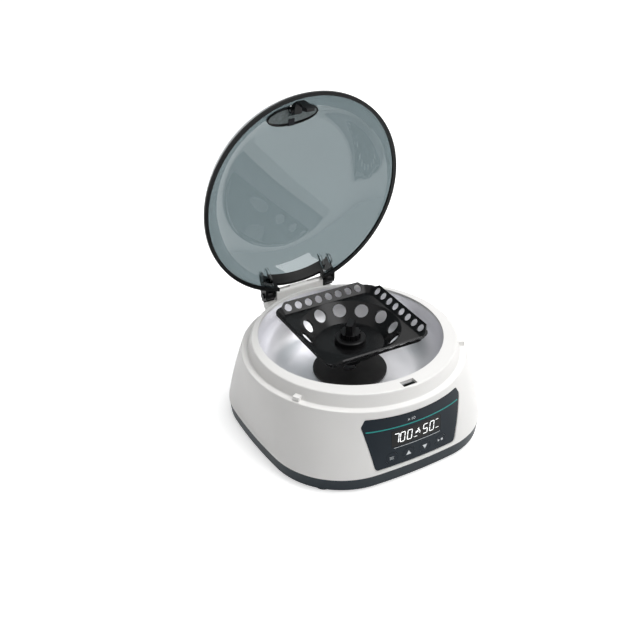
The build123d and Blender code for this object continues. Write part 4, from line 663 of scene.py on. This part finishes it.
class RotorFinish(bpy.types.Operator):
    """Give the rotor, its knob and the bowl their finish"""

    bl_idname = "centrifuge.rotor_finish"
    bl_label = "Rotor and bowl"

    def execute(self, context):
        look = context.scene.centrifuge_rotor
        low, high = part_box("chamber_pad")
        centre = [(a + b) / 2 for a, b in zip(low, high)]
        dress(spun_aluminium("spun_aluminium", look.metal, centre, look.lines), "chamber_bowl")
        dress(polished_polymer("polished_black_nylon", look.black, 0.2, 0.3, 0.22), "rotor_tray")
        dress(moulded_abs("moulded_black_nylon", look.black, 0.34, 0.46, 0.5 * MM, 0.03 * MM, 0.2),
              "rotor_knob")
        return {"FINISHED"}


class PanelPrint(bpy.types.Operator):
    """Print the control panel: its stripe, thin lines and key symbols, and the lit figures behind its lens"""

    bl_idname = "centrifuge.panel_print"
    bl_label = "Panel print and display"

    def execute(self, context):
        look = context.scene.centrifuge_panel
        dress(printed_film("printed_polyester_slate", look.film, 0.28, 0.36), "panel_film", "key_1", "key_2",
              "key_3", "key_4")
        dress(polished_polymer("polished_acrylic_black", from_hex("#050606"), 0.05, 0.1, 0.2),
              "display_cover")
        ink = printed_film("screen_printed_ink_white", look.ink, 0.35, 0.45)
        film = solid_tree("panel_film")
        film_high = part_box("panel_film")[1]
        lens_low, lens_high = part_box("display_cover")
        over_lens, margin = 2.3 * MM, 0.5 * MM
        stripe_z = lens_high[2] + over_lens
        reach = film_high[0] - FILM_SLOPE * (film_high[2] - stripe_z) - margin
        teal = printed_film("screen_printed_ink_teal", look.stripe, 0.35, 0.45)
        upright_print("panel_stripe", [bar(-reach, stripe_z, reach, stripe_z + look.stripe_height)], film,
                      teal, "case")
        under_lens, line_left, line_right, line_height = 1.5 * MM, -19.5 * MM, 20.8 * MM, 0.35 * MM
        line_z = lens_low[2] - under_lens
        marks = [bar(line_left, line_z, line_right, line_z + line_height)]
        # the multiplier over the stripe: a cross and a ten, at places in mm from the panel's middle
        over_stripe, cross_x, one_x, zero_x, zero_width = 3.2 * MM, -7.4, -4.9, -2.9, 0.75
        mark_z = stripe_z + over_stripe
        for rise in (1, -1):
            marks += [[((cross_x + a) * MM, mark_z + (1.0 + rise * b) * MM)
                       for a, b in ((-0.95, -0.7), (-0.7, -0.95), (0.95, 0.7), (0.7, 0.95))]]
        marks += [bar(one_x * MM, mark_z, (one_x + 0.4) * MM, mark_z + 2.2 * MM)]
        marks += [[((zero_x + zero_width * x) * MM, mark_z + (1.1 + z) * MM) for x, z in quad]
                  for quad in ring_quads(0.0, 0.0, 0.75, 1.12, count=20)]
        upright_print("panel_lines", marks, film, ink, "case")
        # the lit figures
        figures = []
        bottom = (lens_low[2] + lens_high[2] - look.digit_height) / 2
        for digit, left in LIT_DIGITS:
            figures += figure(digit, lens_low[0] + left * MM, bottom, look.digit_width, look.digit_height,
                              look.stroke)
        # a small turning rotor between them: two arcs and an arrow's head
        rotor_x, rotor_z = lens_low[0] + 21.2 * MM, bottom + 3.6 * MM
        figures += ring_quads(rotor_x, rotor_z, 0.2 * MM, 1.5 * MM, radians(20), radians(200), 10)
        figures += ring_quads(rotor_x, rotor_z, 2.1 * MM, 2.7 * MM, radians(-30), radians(70), 8)
        figures += [[(rotor_x + 1.6 * MM, rotor_z + 3.9 * MM), (rotor_x + 0.1 * MM, rotor_z + 2.6 * MM),
                     (rotor_x + 1.5 * MM, rotor_z + 1.7 * MM)]]
        bar_height = 0.45
        for x, z, wide in LIT_BARS:
            figures += [bar(lens_low[0] + x * MM, bottom + z * MM, lens_low[0] + (x + wide) * MM,
                            bottom + (z + bar_height) * MM)]
        upright_print("display_figures", figures, solid_tree("display_cover"), lit_figures(look.lit), "case")
        # key symbols: menu bars, up, down, and start with stop
        for name, body, shapes in (
                ("key_1", "key_left", [bar(-1.7, z - 0.16, 1.7, z + 0.16) for z in (-0.9, 0.0, 0.9)]),
                ("key_2", "key_up", [[(-2.1, -1.6), (2.1, -1.6), (0.0, 2.0)]]),
                ("key_3", "key_down", [[(-2.1, 1.6), (0.0, -2.0), (2.1, 1.6)]]),
                ("key_4", "key_right", [[(-2.3, -1.0), (-0.5, 0.0), (-2.3, 1.0)], bar(0.5, -0.9, 2.3, 0.9)])):
            low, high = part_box(name)
            x, z = (low[0] + high[0]) / 2, (low[2] + high[2]) / 2
            upright_print(name + "_symbol", [[(x + a * MM, z + b * MM) for a, b in s] for s in shapes],
                          solid_tree(name), ink, body)
        return {"FINISHED"}


def seen_by_eye(tree):
    """1 for the camera and for what metal and glass show, 0 for the light that falls on the object."""
    path = put(tree, "ShaderNodeLightPath")
    seen = put(tree, "ShaderNodeMath", {0: path.outputs["Is Camera Ray"], 1: path.outputs["Is Glossy Ray"]},
               operation="ADD", use_clamp=True)
    return put(tree, "ShaderNodeMath", {0: seen.outputs["Value"], 1: path.outputs["Is Transmission Ray"]},
               operation="ADD", use_clamp=True).outputs["Value"]


class StageSet(bpy.types.Operator):
    """Set the pale floor, the soft lights, the even sky and the camera"""

    bl_idname = "centrifuge.stage_set"
    bl_label = "Stage"

    def execute(self, context):
        scene = context.scene
        look = scene.centrifuge_stage
        floor_mesh = bpy.data.meshes.new("floor")
        shape = bmesh.new()
        bmesh.ops.create_grid(shape, x_segments=1, y_segments=1, size=FLOOR_HALF)
        shape.to_mesh(floor_mesh)
        shape.free()
        floor = bpy.data.objects.new("floor", floor_mesh)
        scene.collection.objects.link(floor)
        # a matt white table that is lifted to plain white for the camera, and in what metal and glass show
        material, tree, surface, place = finish("matt_white_table", Roughness=0.9)
        tone(tree, surface, place, look.floor, darker(look.floor, 0.99), 333 * MM)
        lift = put(tree, "ShaderNodeMath", {0: seen_by_eye(tree), 1: look.floor_lift}, operation="MULTIPLY")
        tree.links.new(lift.outputs["Value"], surface.inputs["Emission Strength"])
        surface.inputs["Emission Color"].default_value = from_hex("#ffffff")
        floor_mesh.materials.append(material)

        world = bpy.data.worlds.new("even_sky")
        scene.world = world
        world.use_nodes = True
        tree = world.node_tree
        ground = tree.nodes["Background"]
        ground.inputs["Color"].default_value = from_hex("#ffffff")
        level = put(tree, "ShaderNodeMapRange", {"Value": seen_by_eye(tree), "To Min": look.sky,
                                                 "To Max": 1.0})
        tree.links.new(level.outputs["Result"], ground.inputs["Strength"])

        for name, power, size, place in (("key_light", look.key_power, 0.9, (0.55, -0.95, 1.2)),
                                         ("top_light", look.top_power, 1.1, (0.4, 0.15, 1.55))):
            lamp = bpy.data.lights.new(name, "AREA")
            lamp.shape = "SQUARE"
            lamp.size = size
            lamp.energy = power
            holder = bpy.data.objects.new(name, lamp)
            scene.collection.objects.link(holder)
            holder.location = place
            holder.rotation_euler = (Vector(place) - LAMP_AIM).to_track_quat("Z", "Y").to_euler()

        camera = bpy.data.cameras.new("camera")
        camera.sensor_width = 36.0
        camera.lens = look.lens
        holder = bpy.data.objects.new("camera", camera)
        scene.collection.objects.link(holder)
        holder.location = CAMERA_PLACE
        holder.rotation_euler = CAMERA_TURN
        scene.camera = holder
        scene.view_settings.view_transform = "Standard"
        return {"FINISHED"}


class CentrifugePanel(bpy.types.Panel):
    """Lists the pieces of the centrifuge"""

    bl_idname = "VIEW3D_PT_centrifuge"
    bl_label = "Bench centrifuge"
    bl_space_type = "VIEW_3D"
    bl_region_type = "UI"
    bl_category = "Centrifuge"

    def draw(self, context):
        for title, group, steps in LISTING:
            box = self.layout.box()
            box.label(text=title)
            settings = getattr(context.scene, group)
            for name in settings.__annotations__:
                box.prop(settings, name)
            for step in steps:
                box.operator(step.bl_idname)


GROUPS = (
    ("centrifuge_case", CaseSettings),
    ("centrifuge_lid", LidSettings),
    ("centrifuge_rotor", RotorSettings),
    ("centrifuge_panel", PanelSettings),
    ("centrifuge_stage", StageSettings),
)
LISTING = (
    ("Case", "centrifuge_case", (CaseFinish, PowerFinish)),
    ("Lid", "centrifuge_lid", (LidFinish,)),
    ("Rotor", "centrifuge_rotor", (RotorFinish,)),
    ("Panel", "centrifuge_panel", (PanelPrint,)),
    ("Stage", "centrifuge_stage", (StageSet,)),
)
CLASSES = [group for name, group in GROUPS] + [step for row in LISTING for step in row[2]]
CLASSES += [CentrifugePanel]


def register():
    for item in CLASSES:
        bpy.utils.register_class(item)
    for name, group in GROUPS:
        setattr(bpy.types.Scene, name, PointerProperty(type=group))


def unregister():
    for name, group in reversed(GROUPS):
        delattr(bpy.types.Scene, name)
    for item in reversed(CLASSES):
        bpy.utils.unregister_class(item)


def main():
    """Register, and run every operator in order."""
    register()
    for row in LISTING:
        for step in row[2]:
            space, call = step.bl_idname.split(".")
            getattr(getattr(bpy.ops, space), call)()


if __name__ == "__main__":
    main()
